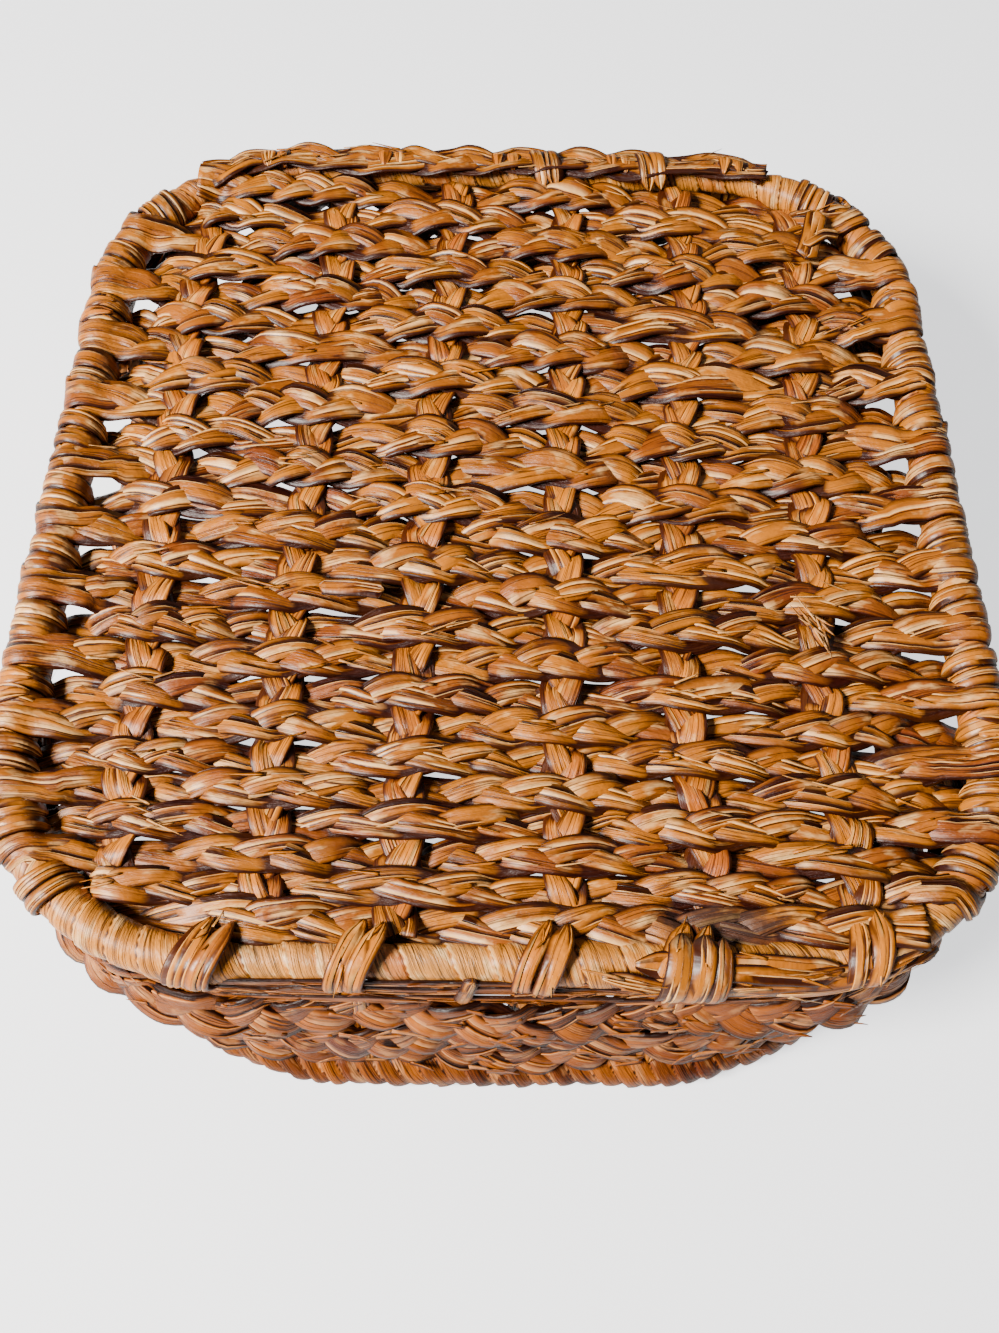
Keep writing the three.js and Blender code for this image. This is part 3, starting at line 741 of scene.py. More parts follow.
def blend_colour(tree, share, first, second):
    """A Mix node for colours; share, first and second are sockets or values."""
    node = add_node(tree, "ShaderNodeMix", data_type="RGBA")
    for place, given in ((0, share), (6, first), (7, second)):
        if hasattr(given, "is_output"):
            tree.links.new(given, node.inputs[place])
        else:
            node.inputs[place].default_value = given
    return node.outputs[2]


def spread(tree, socket, low, high):
    """Stretches the range low..high to 0..1 and clips it."""
    node = add_node(tree, "ShaderNodeMapRange", clamp=True,
                    inputs={"From Min": low, "From Max": high, "To Min": 0.0, "To Max": 1.0})
    tree.links.new(socket, node.inputs["Value"])
    return node.outputs["Result"]


def object_noise(tree, scale):
    """Fine noise in the basket's own measures, with the coordinates that it is made from."""
    coordinates = tree.nodes.new("ShaderNodeTexCoord").outputs["Object"]
    noise = add_node(tree, "ShaderNodeTexNoise", inputs={"Scale": scale, "Detail": 3.0})
    tree.links.new(coordinates, noise.inputs["Vector"])
    return noise.outputs["Fac"], coordinates


def stretched_noise(tree, uv, across, along, detail, roughness):
    """Noise drawn out along the strip: the UV map scaled by so much across and so much along."""
    mapping = add_node(tree, "ShaderNodeMapping", inputs={"Scale": (across, along, 1.0)})
    tree.links.new(uv, mapping.inputs["Vector"])
    noise = add_node(tree, "ShaderNodeTexNoise",
                     inputs={"Scale": 1.0, "Detail": detail, "Roughness": roughness})
    tree.links.new(mapping.outputs["Vector"], noise.inputs["Vector"])
    return noise.outputs["Fac"]


# Each noise: changes in a centimetre across the strip and along it, detail and roughness
FIBRE = (22.0, 0.9, 4.0, 0.6)
STREAK = (7.0, 0.30, 3.0, 0.55)
CRACK = (4.5, 0.10, 2.0, 0.55)
PATCH = (1.1, 0.40, 2.0, 0.55)
WEATHER_AND_SHEEN = (2.2, 0.75, 3.0, 0.55)
SOAK = (0.7, 0.33, 2.0, 0.55)
CRUMPLE = (3.0, 1.3, 3.0, 0.55)


def leaf_group():
    """Inputs: four colours. Outputs: colour, roughness and height, all from the strip's UV map.
    The colour goes from honey to red with the leaf's tone, and each step after that mixes it
    towards the pale or the fold colour by a share times a strength."""
    group = bpy.data.node_groups.new("dry_leaf", "ShaderNodeTree")
    face = group.interface
    for name in ("Honey", "Red", "Pale", "Fold"):
        face.new_socket(name=name, in_out="INPUT", socket_type="NodeSocketColor")
    for name, kind in (("Color", "Color"), ("Roughness", "Float"), ("Height", "Float")):
        face.new_socket(name=name, in_out="OUTPUT", socket_type="NodeSocket" + kind)
    given = group.nodes.new("NodeGroupInput")
    result = group.nodes.new("NodeGroupOutput")
    uv = add_node(group, "ShaderNodeUVMap", uv_map="strip").outputs["UV"]
    tone = add_node(group, "ShaderNodeAttribute", attribute_name="tone").outputs["Fac"]
    hollow = add_node(group, "ShaderNodeAttribute", attribute_name="hollow").outputs["Fac"]
    fibre, streak, crack, patch, weather_and_sheen, soak, crumple = [
        stretched_noise(group, uv, *measures)
        for measures in (FIBRE, STREAK, CRACK, PATCH, WEATHER_AND_SHEEN, SOAK, CRUMPLE)]
    line = maths(group, "ABSOLUTE", maths(group, "SUBTRACT", crack, 0.5))
    line = spread(group, line, 0.026, 0.006)
    # The crown is where no painted shade lies; the crest, below zero, is paler as wear and painted
    # highlight
    crown = maths(group, "SUBTRACT", 1.0, hollow, clamp=True)
    crest = maths(group, "MULTIPLY", hollow, -1.0)
    red_share = spread(group, maths(group, "ADD", tone, maths(group, "MULTIPLY", patch, 0.6)),
                       0.62, 1.30)
    colour = blend_colour(group, red_share, given.outputs["Honey"], given.outputs["Red"])
    # Soaked patches, weathered crowns (partly painted highlight), slow bands, dark fibres, cracks,
    # worn crests (partly painted highlight) and the painted shade in the folds
    steps = ((spread(group, soak, 0.50, 0.30), 0.5, "Fold"),
             (maths(group, "MULTIPLY", spread(group, weather_and_sheen, 0.54, 0.74), crown), 0.75, "Pale"),
             (spread(group, streak, 0.56, 0.30), 0.22, "Fold"),
             (spread(group, fibre, 0.55, 0.25), 0.16, "Fold"),
             (line, 0.8, "Fold"),
             (spread(group, crest, 0.15, 0.8), 0.7, "Pale"),
             (spread(group, hollow, 0.08, 0.7), 0.95, "Fold"))
    for share, strength, towards in steps:
        colour = blend_colour(group, maths(group, "MULTIPLY", share, strength), colour,
                              given.outputs[towards])
    group.links.new(colour, result.inputs["Color"])
    rough = maths(group, "ADD", maths(group, "MULTIPLY", fibre, 0.34), 0.22)
    group.links.new(rough, result.inputs["Roughness"])
    height = maths(group, "ADD", maths(group, "MULTIPLY", fibre, 0.45),
                   maths(group, "MULTIPLY", streak, 0.25))
    height = maths(group, "SUBTRACT", height, maths(group, "MULTIPLY", line, 0.3))
    height = maths(group, "ADD", height, maths(group, "MULTIPLY", crumple, 1.5))
    group.links.new(height, result.inputs["Height"])
    return group


LEAF_GROUP = leaf_group()
print("leaf group nodes:", len(LEAF_GROUP.nodes))

# %% The leaf materials
STAIN_GRAIN = 240.0
STAIN_RAGGED = 0.8
STAIN_EDGE = (1.45, 0.95)
STAIN_STRENGTH = 0.85
LEAF_RELIEF = 0.7
RELIEF_DEPTH = 1.0 * MM
COAT_ROUGHNESS = 0.35


def stained(tree, colour, place, size, tint):
    """Darkens a colour in an oval round a place: 1 minus the distance, measured in half sizes,
    with a ragged edge from noise."""
    rough, coordinates = object_noise(tree, STAIN_GRAIN)
    scale = [1 / length for length in size]
    mapping = add_node(tree, "ShaderNodeMapping",
                       inputs={"Location": [-at * by for at, by in zip(place, scale)],
                               "Scale": scale})
    tree.links.new(coordinates, mapping.inputs["Vector"])
    distance = add_node(tree, "ShaderNodeVectorMath", operation="LENGTH")
    tree.links.new(mapping.outputs["Vector"], distance.inputs[0])
    edge = maths(tree, "ADD", distance.outputs["Value"],
                 maths(tree, "MULTIPLY", rough, STAIN_RAGGED))
    share = maths(tree, "MULTIPLY", spread(tree, edge, *STAIN_EDGE), STAIN_STRENGTH)
    return blend_colour(tree, share, colour, srgb(*tint))


def leaf_material(name, honey, red, pale, fold, gloss=0.25, coat=0.2, stain=None):
    """A leaf finish: the shared group feeds colour, roughness and bump of one Principled shader."""
    material, tree, shader = new_material(name)
    leaf = add_node(tree, "ShaderNodeGroup", node_tree=LEAF_GROUP)
    for socket, colour in (("Honey", honey), ("Red", red), ("Pale", pale), ("Fold", fold)):
        leaf.inputs[socket].default_value = srgb(*colour)
    colour = leaf.outputs["Color"]
    if stain:
        colour = stained(tree, colour, *stain)
    tree.links.new(colour, shader.inputs["Base Color"])
    tree.links.new(leaf.outputs["Roughness"], shader.inputs["Roughness"])
    bump = add_node(tree, "ShaderNodeBump",
                    inputs={"Strength": LEAF_RELIEF, "Distance": RELIEF_DEPTH})
    tree.links.new(leaf.outputs["Height"], bump.inputs["Height"])
    tree.links.new(bump.outputs["Normal"], shader.inputs["Normal"])
    shader.inputs["Specular IOR Level"].default_value = gloss
    shader.inputs["Coat Weight"].default_value = coat
    shader.inputs["Coat Roughness"].default_value = COAT_ROUGHNESS
    return material


# Place and half sizes of the stain in metres, and its screen colour
STAIN = ((0.067, -0.164, 0.092), (0.027, 0.008, 0.02), (50, 34, 30))
ROW_LEAF = leaf_material("row_leaf", (174, 99, 6), (122, 54, 8), (252, 198, 126),
                         (30, 0, 0), stain=STAIN)
STAKE_LEAF = leaf_material("stake_leaf", (196, 112, 16), (160, 76, 18), (236, 176, 96),
                           (46, 9, 0))
RAIL_LEAF = leaf_material("rail_leaf", (198, 122, 36), (166, 86, 26), (250, 208, 144),
                          (46, 12, 0))
# The wall leaf is darker and a little redder than the rows; part of its darkness is painted shade,
# as the wall lies in the shade of the base above it
WALL_LEAF = leaf_material("wall_leaf", (150, 78, 14), (90, 38, 8), (214, 146, 86),
                          (14, 0, 0), gloss=0.2, coat=0.0)
print("leaf materials:", [m.name for m in bpy.data.materials if m.name.endswith("_leaf")])

# %% [markdown]
# ## The base: one plait, back and forth
#
# On the real base a single plait runs to the right rail, turns round it, comes back as the next
# row and turns round the left rail, and so on to the back. The rows could be made one by one, but
# then their ends would have to be matched at every turn. Here the whole course is one path of
# some eight metres. It is plaited in one go and only then cut into rows, at the underside of the
# rail, so the strands pass from row to row without a break.
#
# A row passes over and under the stakes by turns. At a rail it laps over at one end, and the turn
# that follows brings it back beneath the rail as the next row. On the lap the plait opens and lies
# flat, with its edges down on the rail. The first row, at the front, is a loose end of its own: it
# starts under the left corner and laps over the right one.

# %% Rows and stakes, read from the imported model
PLAIT_THICKNESS = 7.6 * MM
MIDDLE_OF_ROW = 60 * MM


def node_points(name):
    """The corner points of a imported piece, as an array."""
    data = nodes[name].data
    points = np.empty(len(data.vertices) * 3, np.float32)
    data.vertices.foreach_get("co", points)
    return points.reshape(-1, 3).astype(float)


def named(start):
    """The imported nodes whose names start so, in order."""
    return sorted(name for name in nodes if name.startswith(start))


ROW_NAMES = named("base_row_")
STAKE_NAMES = named("base_stake_")
stake_places = [float(node_points(name)[:, 0].mean()) for name in STAKE_NAMES]
row_places, row_widths = [], []
for name in ROW_NAMES:
    points = node_points(name)
    flat = points[np.abs(points[:, 0]) < MIDDLE_OF_ROW, 1]
    row_places.append(float(flat.min() + flat.max()) / 2)
    row_widths.append(float(flat.max() - flat.min()))
print("rows from", round(row_places[0] / MM, 1), "to", round(row_places[-1] / MM, 1), "mm, widths",
      round(row_widths[0] / MM, 1), "to", round(row_widths[-1] / MM, 1), "mm")


# %% The course of the long plait
# Degrees round the rail: 0 is its outer side, 90 its top, 180 its inner side and -90 its foot.
ROW_LIFT = 2.9 * MM
ROW_SOFTENING = 9 * MM
LAP_RADIUS = 8.7 * MM
LAP_INNER = (140, 115, 90)
LAP_OUTER = (60, 30, 0, -30, -60)
FOOT, FOOT_INNER = -90, (-115, -140)
TURN_FROM = 40
CLEAR_OF_RAIL = 7 * MM
BETWEEN_STAKES = (0.25, 0.5, 0.75)
FIRST = 1


def rail_foot(side, y):
    """Where a line across the base at y meets the rail on one side, with the rail's outward way."""
    past = min(max(abs(y) - STRAIGHT_Y, 0.0), RAIL_CORNER)
    reach = math.sqrt(RAIL_CORNER ** 2 - past ** 2)
    outward = (side * reach / RAIL_CORNER, math.copysign(past, y) / RAIL_CORNER)
    return side * (STRAIGHT_X + reach), outward


def inside_rail(side, y, degrees):
    """A point of a lap on the rail's inner side, where the row still runs straight across."""
    foot, outward = rail_foot(side, y)
    x = foot + side * LAP_RADIUS * math.cos(math.radians(degrees)) / abs(outward[0])
    lift = LAP_RADIUS * math.sin(math.radians(degrees))
    return (x, y, RAIL_HEIGHT + lift)


def round_rail(side, y, degrees):
    """A point of a lap round the rail: rail centre + radius * (cos outwards + sin upwards)."""
    foot, outward = rail_foot(side, y)
    reach = LAP_RADIUS * math.cos(math.radians(degrees))
    lift = LAP_RADIUS * math.sin(math.radians(degrees))
    return (foot + reach * outward[0], y + reach * outward[1], RAIL_HEIGHT + lift)


def row_course(row, way, lifts, slant=(0.0, 0.0)):
    """Points of one row in the order of the plait's travel, from under one rail to over the other:
    between two stakes the height is half a cosine, and slant moves the row's ends to and fro."""
    y = row_places[row]
    near = [abs(inside_rail(side, y, LAP_INNER[0])[0]) - CLEAR_OF_RAIL for side in (-1, 1)]
    points = [round_rail(-way, y, FOOT)]
    points += [inside_rail(-way, y, degrees) for degrees in FOOT_INNER]
    crossings = [(x, lift) for x, lift in zip(stake_places, lifts) if -near[0] < x < near[1]]
    for place, (x, lift) in enumerate(crossings[::way]):
        if place:
            before_x, before_lift = crossings[::way][place - 1]
            for share in BETWEEN_STAKES:
                ease = (1 - math.cos(math.pi * share)) / 2
                rise = before_lift + (lift - before_lift) * ease
                points.append((before_x + (x - before_x) * share, y, RAIL_HEIGHT + rise * ROW_LIFT))
        points.append((x, y, RAIL_HEIGHT + lift * ROW_LIFT))
    points += [inside_rail(way, y, degrees) for degrees in LAP_INNER]
    points = np.array(points)
    points[:, 1] += np.interp(points[:, 0], (-HALF_WIDTH, 0, HALF_WIDTH), (slant[0], 0, slant[1]))
    return points


def row_turn(row, way):
    """Points of the turn from one row to the next: half round the rail's outer side. It comes
    down straight, and y eases to the next row on the lower side only."""
    y, following = row_places[row], row_places[row + 1]
    points = []
    for degrees in LAP_OUTER:
        share = eased(max(0.0, (TURN_FROM - degrees) / (TURN_FROM - FOOT)))
        points.append(round_rail(way, y + (following - y) * share, degrees))
    return np.array(points)


course, cuts = [], []
length = 0.0
for row in range(FIRST, len(ROW_NAMES)):
    way = 1 if row % 2 else -1
    lifts = [1 if (row + number) % 2 == 0 else -1 for number in range(1, len(stake_places) + 1)]
    runs = [row_course(row, way, lifts)]
    if row + 1 < len(ROW_NAMES):
        runs.append(row_turn(row, way))
    points = np.concatenate(runs)
    joined = np.concatenate([course[-1][-1:], points]) if course else points
    length += float(np.linalg.norm(np.diff(joined, axis=0), axis=1).sum())
    course.append(points)
    cuts.append(length)
base_path, base_along = even_path(np.concatenate(course), RING_STEP, ROW_SOFTENING)
print("the long plait:", round(length, 2), "m,", len(base_path), "rings")

# %% [markdown]
# ## The plait on that course
#
# A row is fuller where it rides over a stake, and both its crests and its dips are flatter than
# the slopes between them. The V marks point one way in the front half of the base and the other
# way from the fourteenth row on. A second plait, made the other way round, could be spliced in
# there, but reversing the turn of the strands does the same and leaves no joint.

# %% Plait the base
ROW_REPEAT = 66 * MM
ROW_FULLNESS, LAP_FULLNESS = 1.34, 1.32
HUMP_FULLER, HUMP_THINNER = 0.07, 0.2
LAP_THICKNESS = 4.0 * MM
LAP_BEGINS = 16 * MM
LAP_EASES = 11 * MM
ROW_WANDER = 0.9 * MM
STEADY_ENDS = 20 * MM
TURNED_FROM = 13
ROWS_SEED = 21

reach_y = np.linspace(-HALF_LENGTH, HALF_LENGTH, 200)
reach_x = np.array([rail_foot(1, y)[0] for y in reach_y])


def lap_share(path):
    """1 where a plait lies on the rail and 0 on the base, eased over eleven millimetres."""
    past = np.abs(path[:, 0]) - np.interp(path[:, 1], reach_y, reach_x)
    return eased(np.clip((past + LAP_BEGINS) / LAP_EASES, 0, 1))


def lap_across(path, lap):
    """Across direction of a row: its back faces up on the base and away from the rail's centre
    line on a lap, so the strips lie flat on the rail also where it bends."""
    tangent = unit(np.gradient(path, axis=0))
    past_x = np.maximum(np.abs(path[:, 0]) - STRAIGHT_X, 1e-6)
    past_y = np.maximum(np.abs(path[:, 1]) - STRAIGHT_Y, 0)
    from_corner = np.hypot(past_x, past_y)
    out = (from_corner - RAIL_CORNER) / from_corner
    radial = unit(np.stack([np.sign(path[:, 0]) * past_x * out, np.sign(path[:, 1]) * past_y * out,
                            path[:, 2] - RAIL_HEIGHT], axis=1))
    upward = np.sign(tangent[:, :1]) * np.array([UP])
    faced = np.sign(path[:, :1]) * radial * lap[:, None] + upward * (1 - lap[:, None])
    return np.cross(faced, tangent)


def row_plait(path, along, width, seed, way=1.0):
    """The strands of a row: fuller where it rides over a stake, flat and parallel on the rail."""
    hump = np.clip((path[:, 2] - RAIL_HEIGHT) / ROW_LIFT, -1, 1)
    lap = lap_share(path)
    full = (ROW_FULLNESS + HUMP_FULLER * hump) * (1 - lap) + LAP_FULLNESS * lap
    full = np.convolve(np.pad(full, 4, mode="edge"), np.ones(9) / 9, mode="valid")
    thickness = PLAIT_THICKNESS * (1 - HUMP_THINNER * np.abs(hump)) * (1 - lap)
    thickness = thickness + LAP_THICKNESS * lap
    open_side = np.stack([np.sign(path[:, 0]) * lap, 0 * lap, 1 + 0 * lap], axis=1)
    return plait(path, along, lap_across(path, lap), width * full, thickness, ROW_REPEAT, seed,
                 parallel=lap, open_side=open_side, way=way)


row_of = np.searchsorted(np.array(cuts[:-1]), base_along, side="right") + FIRST
starts = np.array([0.0] + cuts[:-1])
width_of = np.interp(base_along, (starts + np.array(cuts)) / 2, row_widths[FIRST:])
inside = np.abs(base_path[:, 0]) < HALF_WIDTH - STEADY_ENDS
base_path[:, 1] += ROW_WANDER * wander(base_along, 0.05, 4) * inside
way_of = np.where(row_of >= TURNED_FROM, -1.0, 1.0)
base_skins = row_plait(base_path, base_along, width_of, ROWS_SEED, way_of)
print("plaited:", len(base_skins), "strands of", len(base_path), "rings")

# %% [markdown]
# ## Cut into rows
#
# Beside each lap the plait goes once more round the rail before it comes back, as two flat strips
# under its edge. They could be a longer course of the same plait, but a second full wrap would
# crowd the rail, and only its strips show. Each row's piece holds its stretch of the three
# strands, its second wrap and its slivers.

# %% Cut the plait into rows
WRAP_ANGLES = (195, -50)
WRAP_RADIUS = 8.3 * MM
WRAP_SLANT = 6 * MM
WRAP_ASIDE = 1 * MM
WRAP_STRIPS = ((-0.30, 0.62), (0.26, 0.56))
WRAP_THICKNESS = 2.4 * MM
WRAP_SEED = 5000
SLIVERS_PER_ROW = 8
SLIVER_HEIGHT = 0.40
ROW_SLIVER_SEED = 4000


def part_of(skin, first, last):
    """The rings of a skin from first to last, both kept, as a skin of its own."""
    part = {key: skin[key][first:last + 1] for key in SKIN_GRIDS}
    part["closed"] = False
    return part


def rail_wrap(row, side):
    """The plait's second wrap: strips over the rail at the row's own place, sliding backwards as
    they go out. Their places and widths are shares of the row's width."""
    foot, _ = rail_foot(side, row_places[row])
    place = LOOP[0][np.argmin(np.hypot(LOOP[1] - foot, LOOP[2] - row_places[row]))]
    wide = row_widths[row]
    strips = [(aside * wide, width * wide) for aside, width in WRAP_STRIPS]
    return over_rail(place - side * WRAP_ASIDE, *WRAP_ANGLES, WRAP_RADIUS, side * WRAP_SLANT,
                     WRAP_SEED + 90 * row, strips, WRAP_THICKNESS)


for row in range(FIRST, len(ROW_NAMES)):
    held = np.nonzero(row_of == row)[0]
    first, last = held[0], min(held[-1] + 1, len(base_along) - 1)
    parts = [part_of(skin, first, last) for skin in base_skins]
    run = base_path[first:last]
    on_top = np.nonzero((run[:, 2] > RAIL_HEIGHT) & (lap_share(run) == 0))[0]
    parts += slivers(run, (0, 1, 0), row_widths[row], SLIVER_HEIGHT * PLAIT_THICKNESS,
                     SLIVERS_PER_ROW, ROW_SLIVER_SEED + row, UP, on_top)
    parts += rail_wrap(row, -1 if row % 2 else 1)
    make_piece(f"row_plait_{row + 1:02d}", parts, ROW_LEAF, [ROW_NAMES[row]])
print("rows cut:", len(ROW_NAMES) - FIRST)

# %% The loose front row
FRONT_LIFTS = (0, 1, -1, 1, 0.6, 0)
FRONT_SLANT = (3 * MM, 0.0)
FRONT_FORWARD = 1.5 * MM
FRONT_FULLER = 1.25
FRONT_SEED = 9021

front_course = row_course(0, 1, FRONT_LIFTS, slant=FRONT_SLANT)
front_path, front_along = even_path(front_course, RING_STEP, ROW_SOFTENING)
front_path[:, 1] -= FRONT_FORWARD
front_skins = row_plait(front_path, front_along, row_widths[0] * FRONT_FULLER, FRONT_SEED)
make_piece("row_plait_01", front_skins, ROW_LEAF, [ROW_NAMES[0]])
print("rows made:", len(ROW_NAMES))

# %% [markdown]
# ## Stakes
#
# The stakes run from front to back and carry the rows. In the gaps of the weave each shows as a
# small plait of its own, flatter and smoother than the rows, with its strands lying in a V. A
# plain flat bar would be quicker, but the V marks are what the eye finds in every gap. A stake
# dips where a row passes over it and rises where one passes under.

# %% Stakes
STAKE_WIDTH = 16.5 * MM
STAKE_THICKNESS = 4.4 * MM
STAKE_REPEAT = 50 * MM
STAKE_FOLDS = 0.3
STAKE_DIP = 2.3 * MM
STAKE_SWAY = 0.9 * MM
PATH_POINT_STEP = 4 * MM
STAKE_SEED, SWAY_SEED = 320, 300
# How far each stake bends to the right at five places from front to back, in millimetres
BEND_PLACES = np.array([-150, -80, 30, 90, 150]) * MM
STAKE_BENDS = ((0, 0, -3, -7, 0), (0, 0, 2, 4, 5), (-6, -4, 0, 5, 6), (0, 0, 2, 6, 7),
               (-3, -8, 0, 8, 7), (-4, -7, 0, 7, 7))

for number, name in enumerate(STAKE_NAMES):
    low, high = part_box(name)
    run = np.arange(low.y, high.y, PATH_POINT_STEP)
    sway = STAKE_SWAY * wander(run, 0.06, SWAY_SEED + number)
    sway += np.interp(run, BEND_PLACES, np.array(STAKE_BENDS[number]) * MM)
    under = [-STAKE_DIP if (row + number + 1) % 2 == 0 else STAKE_DIP
             for row in range(len(ROW_NAMES))]
    points = np.stack([np.full_like(run, (low.x + high.x) / 2) + sway, run,
                       RAIL_HEIGHT + np.interp(run, row_places, under)], axis=1)
    path, along = even_path(points, RING_STEP, ROW_SOFTENING)
    skins = plait(path, along, (-1, 0, 0), STAKE_WIDTH, STAKE_THICKNESS, STAKE_REPEAT,
                  STAKE_SEED + 31 * number, folds=STAKE_FOLDS)
    make_piece(f"stake_plait_{number + 1}", skins, STAKE_LEAF, [name])
print("stakes made:", len(STAKE_NAMES))

# %% [markdown]
# ## Uprights
#
# Each upright is the end of a stake or a strip of its own: two flat strips side by side that come
# over the first row, hook over the rail and run down behind the wall plaits to the rim. From
# above, its hook is the loop that lashes the front rail. At the front the strips lean to the left
# as they go over.

# %% Uprights
UPRIGHT_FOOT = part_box("front_upright_3")[0].z
UPRIGHT_NAMES = sorted(name for name in nodes if "upright" in name)
UPRIGHT_STRIPS = (-3.1 * MM, 3.1 * MM)
UPRIGHT_WIDTH, UPRIGHT_THICKNESS = 7.2 * MM, 2.4 * MM
UPRIGHT_SOFTENING = 5 * MM
UPRIGHT_SWAY = 1.5 * MM
UPRIGHT_SEED, SLANT_SEED, LASH_SLIVER_SEED = 720, 700, 4100
HOOK_RADIUS = 8.6 * MM
HOOK_START, FRONT_HOOK_START, HOOK_STEP = 125, 95, -12.5
# Where a front strip lies on the first row before its hook: out of the rail's line and above it
ROW_CREST_OUTS = np.array([-11, -7, -3]) * MM
ROW_CREST_LIFTS = np.array([3.4, 6.6, 8.5]) * MM
FRONT_SHIFTS = (4, 0, 7, -2, 5)
LASHING_LEAN = 8 * MM
LASHING_WIDTH = 12 * MM
LASHING_RINGS = 12
LEG_START = 5 * MM
LEG_DROP = 6 * MM
LEG_POINTS = 8


def leg_out(height, mouth):
    """How far outside the rail's centre line a leg stands at a height: a straight lean."""
    share = (RAIL_HEIGHT - height) / (RAIL_HEIGHT - UPRIGHT_FOOT)
    return LEG_START + (mouth - LEG_START) * share


upright_along = {name: along_of(name) for name in UPRIGHT_NAMES}
for number, name in enumerate(UPRIGHT_NAMES):
    at_front = name.startswith("front")
    degrees = np.arange(FRONT_HOOK_START if at_front else HOOK_START, -1, HOOK_STEP)
    outs = HOOK_RADIUS * np.cos(np.radians(degrees))
    heights = RAIL_HEIGHT + HOOK_RADIUS * np.sin(np.radians(degrees))
    if at_front:
        outs = np.concatenate([ROW_CREST_OUTS, outs])
        heights = np.concatenate([RAIL_HEIGHT + ROW_CREST_LIFTS, heights])
    drop = np.linspace(RAIL_HEIGHT - LEG_DROP, UPRIGHT_FOOT, LEG_POINTS)
    outs = np.concatenate([outs, leg_out(drop, mouth_out(upright_along[name]))])
    heights = np.concatenate([heights, drop])
    slant = UPRIGHT_SWAY * wander(heights, 0.04, SLANT_SEED + number)
    if at_front:
        shift = FRONT_SHIFTS[int(name[-1]) - 1] * MM
        slant += shift - LASHING_LEAN * np.clip(outs / (2 * HOOK_RADIUS), -0.6, 0.5)
    points = loop_point(upright_along[name] + slant, outs, heights)
    path, along = even_path(points, RING_STEP, UPRIGHT_SOFTENING)
    middle = loop_point(np.array([upright_along[name]]), 0, 0)[0]
    ahead = loop_point(np.array([upright_along[name] + MM]), 0, 0)[0]
    skins = flat_strips(path, along, ahead - middle, UPRIGHT_STRIPS, UPRIGHT_WIDTH,
                        UPRIGHT_THICKNESS, UPRIGHT_SEED + 17 * number)
    if at_front:
        skins += slivers(path[:LASHING_RINGS], ahead - middle, LASHING_WIDTH,
                         UPRIGHT_THICKNESS / 2, count=4, seed=LASH_SLIVER_SEED + number,
                         up=UP, long_mm=(4, 9))
    make_piece(f"{name}_plait", skins, STAKE_LEAF, [name])
print("uprights made:", len(UPRIGHT_NAMES))

# %% [markdown]
# ## Wall rows
#
# The wall plaits are wider and rougher than those of the base and pass in and out of the
# uprights. The lowest goes all the way round. The two above it stop at the hand grips, where each
# turns round the last upright and comes back a little on the inner side. Each leans like a roof
# tile, its lower edge standing out over the one below, so they overlap in a dense wall. The lean
# is given to the plait as its across direction: up, and inwards by a share.

# %% Wall rows
WALL_THICKNESS = 6.6 * MM
WALL_LIFT = 3.2 * MM
WALL_REPEAT = 50 * MM
WALL_LEAN = 0.5
WALL_BOB = 0.7 * MM
WALL_SOFTENING = 16 * MM
WALL_SLIVERS = 90
WALL_SEED = 1000
LIFT_SHARE = 0.92
# For each row, from the rim up: how far out it stands, how much it is raised, and its width
WALL_OUT = (0 * MM, 1 * MM, 2.5 * MM)
WALL_RAISE = (1 * MM, 2.5 * MM, 5.5 * MM)
WALL_WIDTHS = (19 * MM, 22 * MM, 24 * MM)
ROW_TAIL = 5 * MM
TURN_RADIUS = 5 * MM
TURN_BACK = 22 * MM
order = sorted(UPRIGHT_NAMES, key=lambda name: upright_along[name])


def wall_path(row, begin, end, height):
    """In and out of the uprights by turns: the outward offset is a wave through the uprights. At
    a grip the plait turns round its last upright and comes back a little on the inner side."""
    lifts = [WALL_OUT[row] + (WALL_LIFT if (place + row) % 2 == 0 else -WALL_LIFT)
             for place in range(len(order))]
    knots = [(upright_along[name], lift) for name, lift in zip(order, lifts)]
    knots += [(LOOP_LENGTH / 4, WALL_OUT[row]), (3 * LOOP_LENGTH / 4, WALL_OUT[row])]
    knots.sort()
    around = [(place + turn * LOOP_LENGTH, lift) for turn in (-1, 0, 1) for place, lift in knots]
    places = np.arange(begin, end, PATH_POINT_STEP)
    lift = np.interp(places, [k[0] for k in around], [k[1] for k in around])
    if row:
        turn = np.radians(np.arange(15, 181, 15))
        back = np.arange(PATH_POINT_STEP, TURN_BACK, PATH_POINT_STEP)
        ahead = np.concatenate([TURN_RADIUS * np.sin(turn), -back])
        inward = np.concatenate([TURN_RADIUS * (1 - np.cos(turn)), 2 * TURN_RADIUS + 0 * back])
        lift = np.concatenate([(lift[0] - inward)[::-1], lift, lift[-1] - inward])
        places = np.concatenate([(places[0] - ahead)[::-1], places, places[-1] + ahead])
    heights = height + WALL_BOB * wander(places, 0.04, 900 + row)
    outs = leg_out(heights, mouth_out(places)) + LIFT_SHARE * lift
    return even_path(loop_point(places, outs, heights), RING_STEP, WALL_SOFTENING)


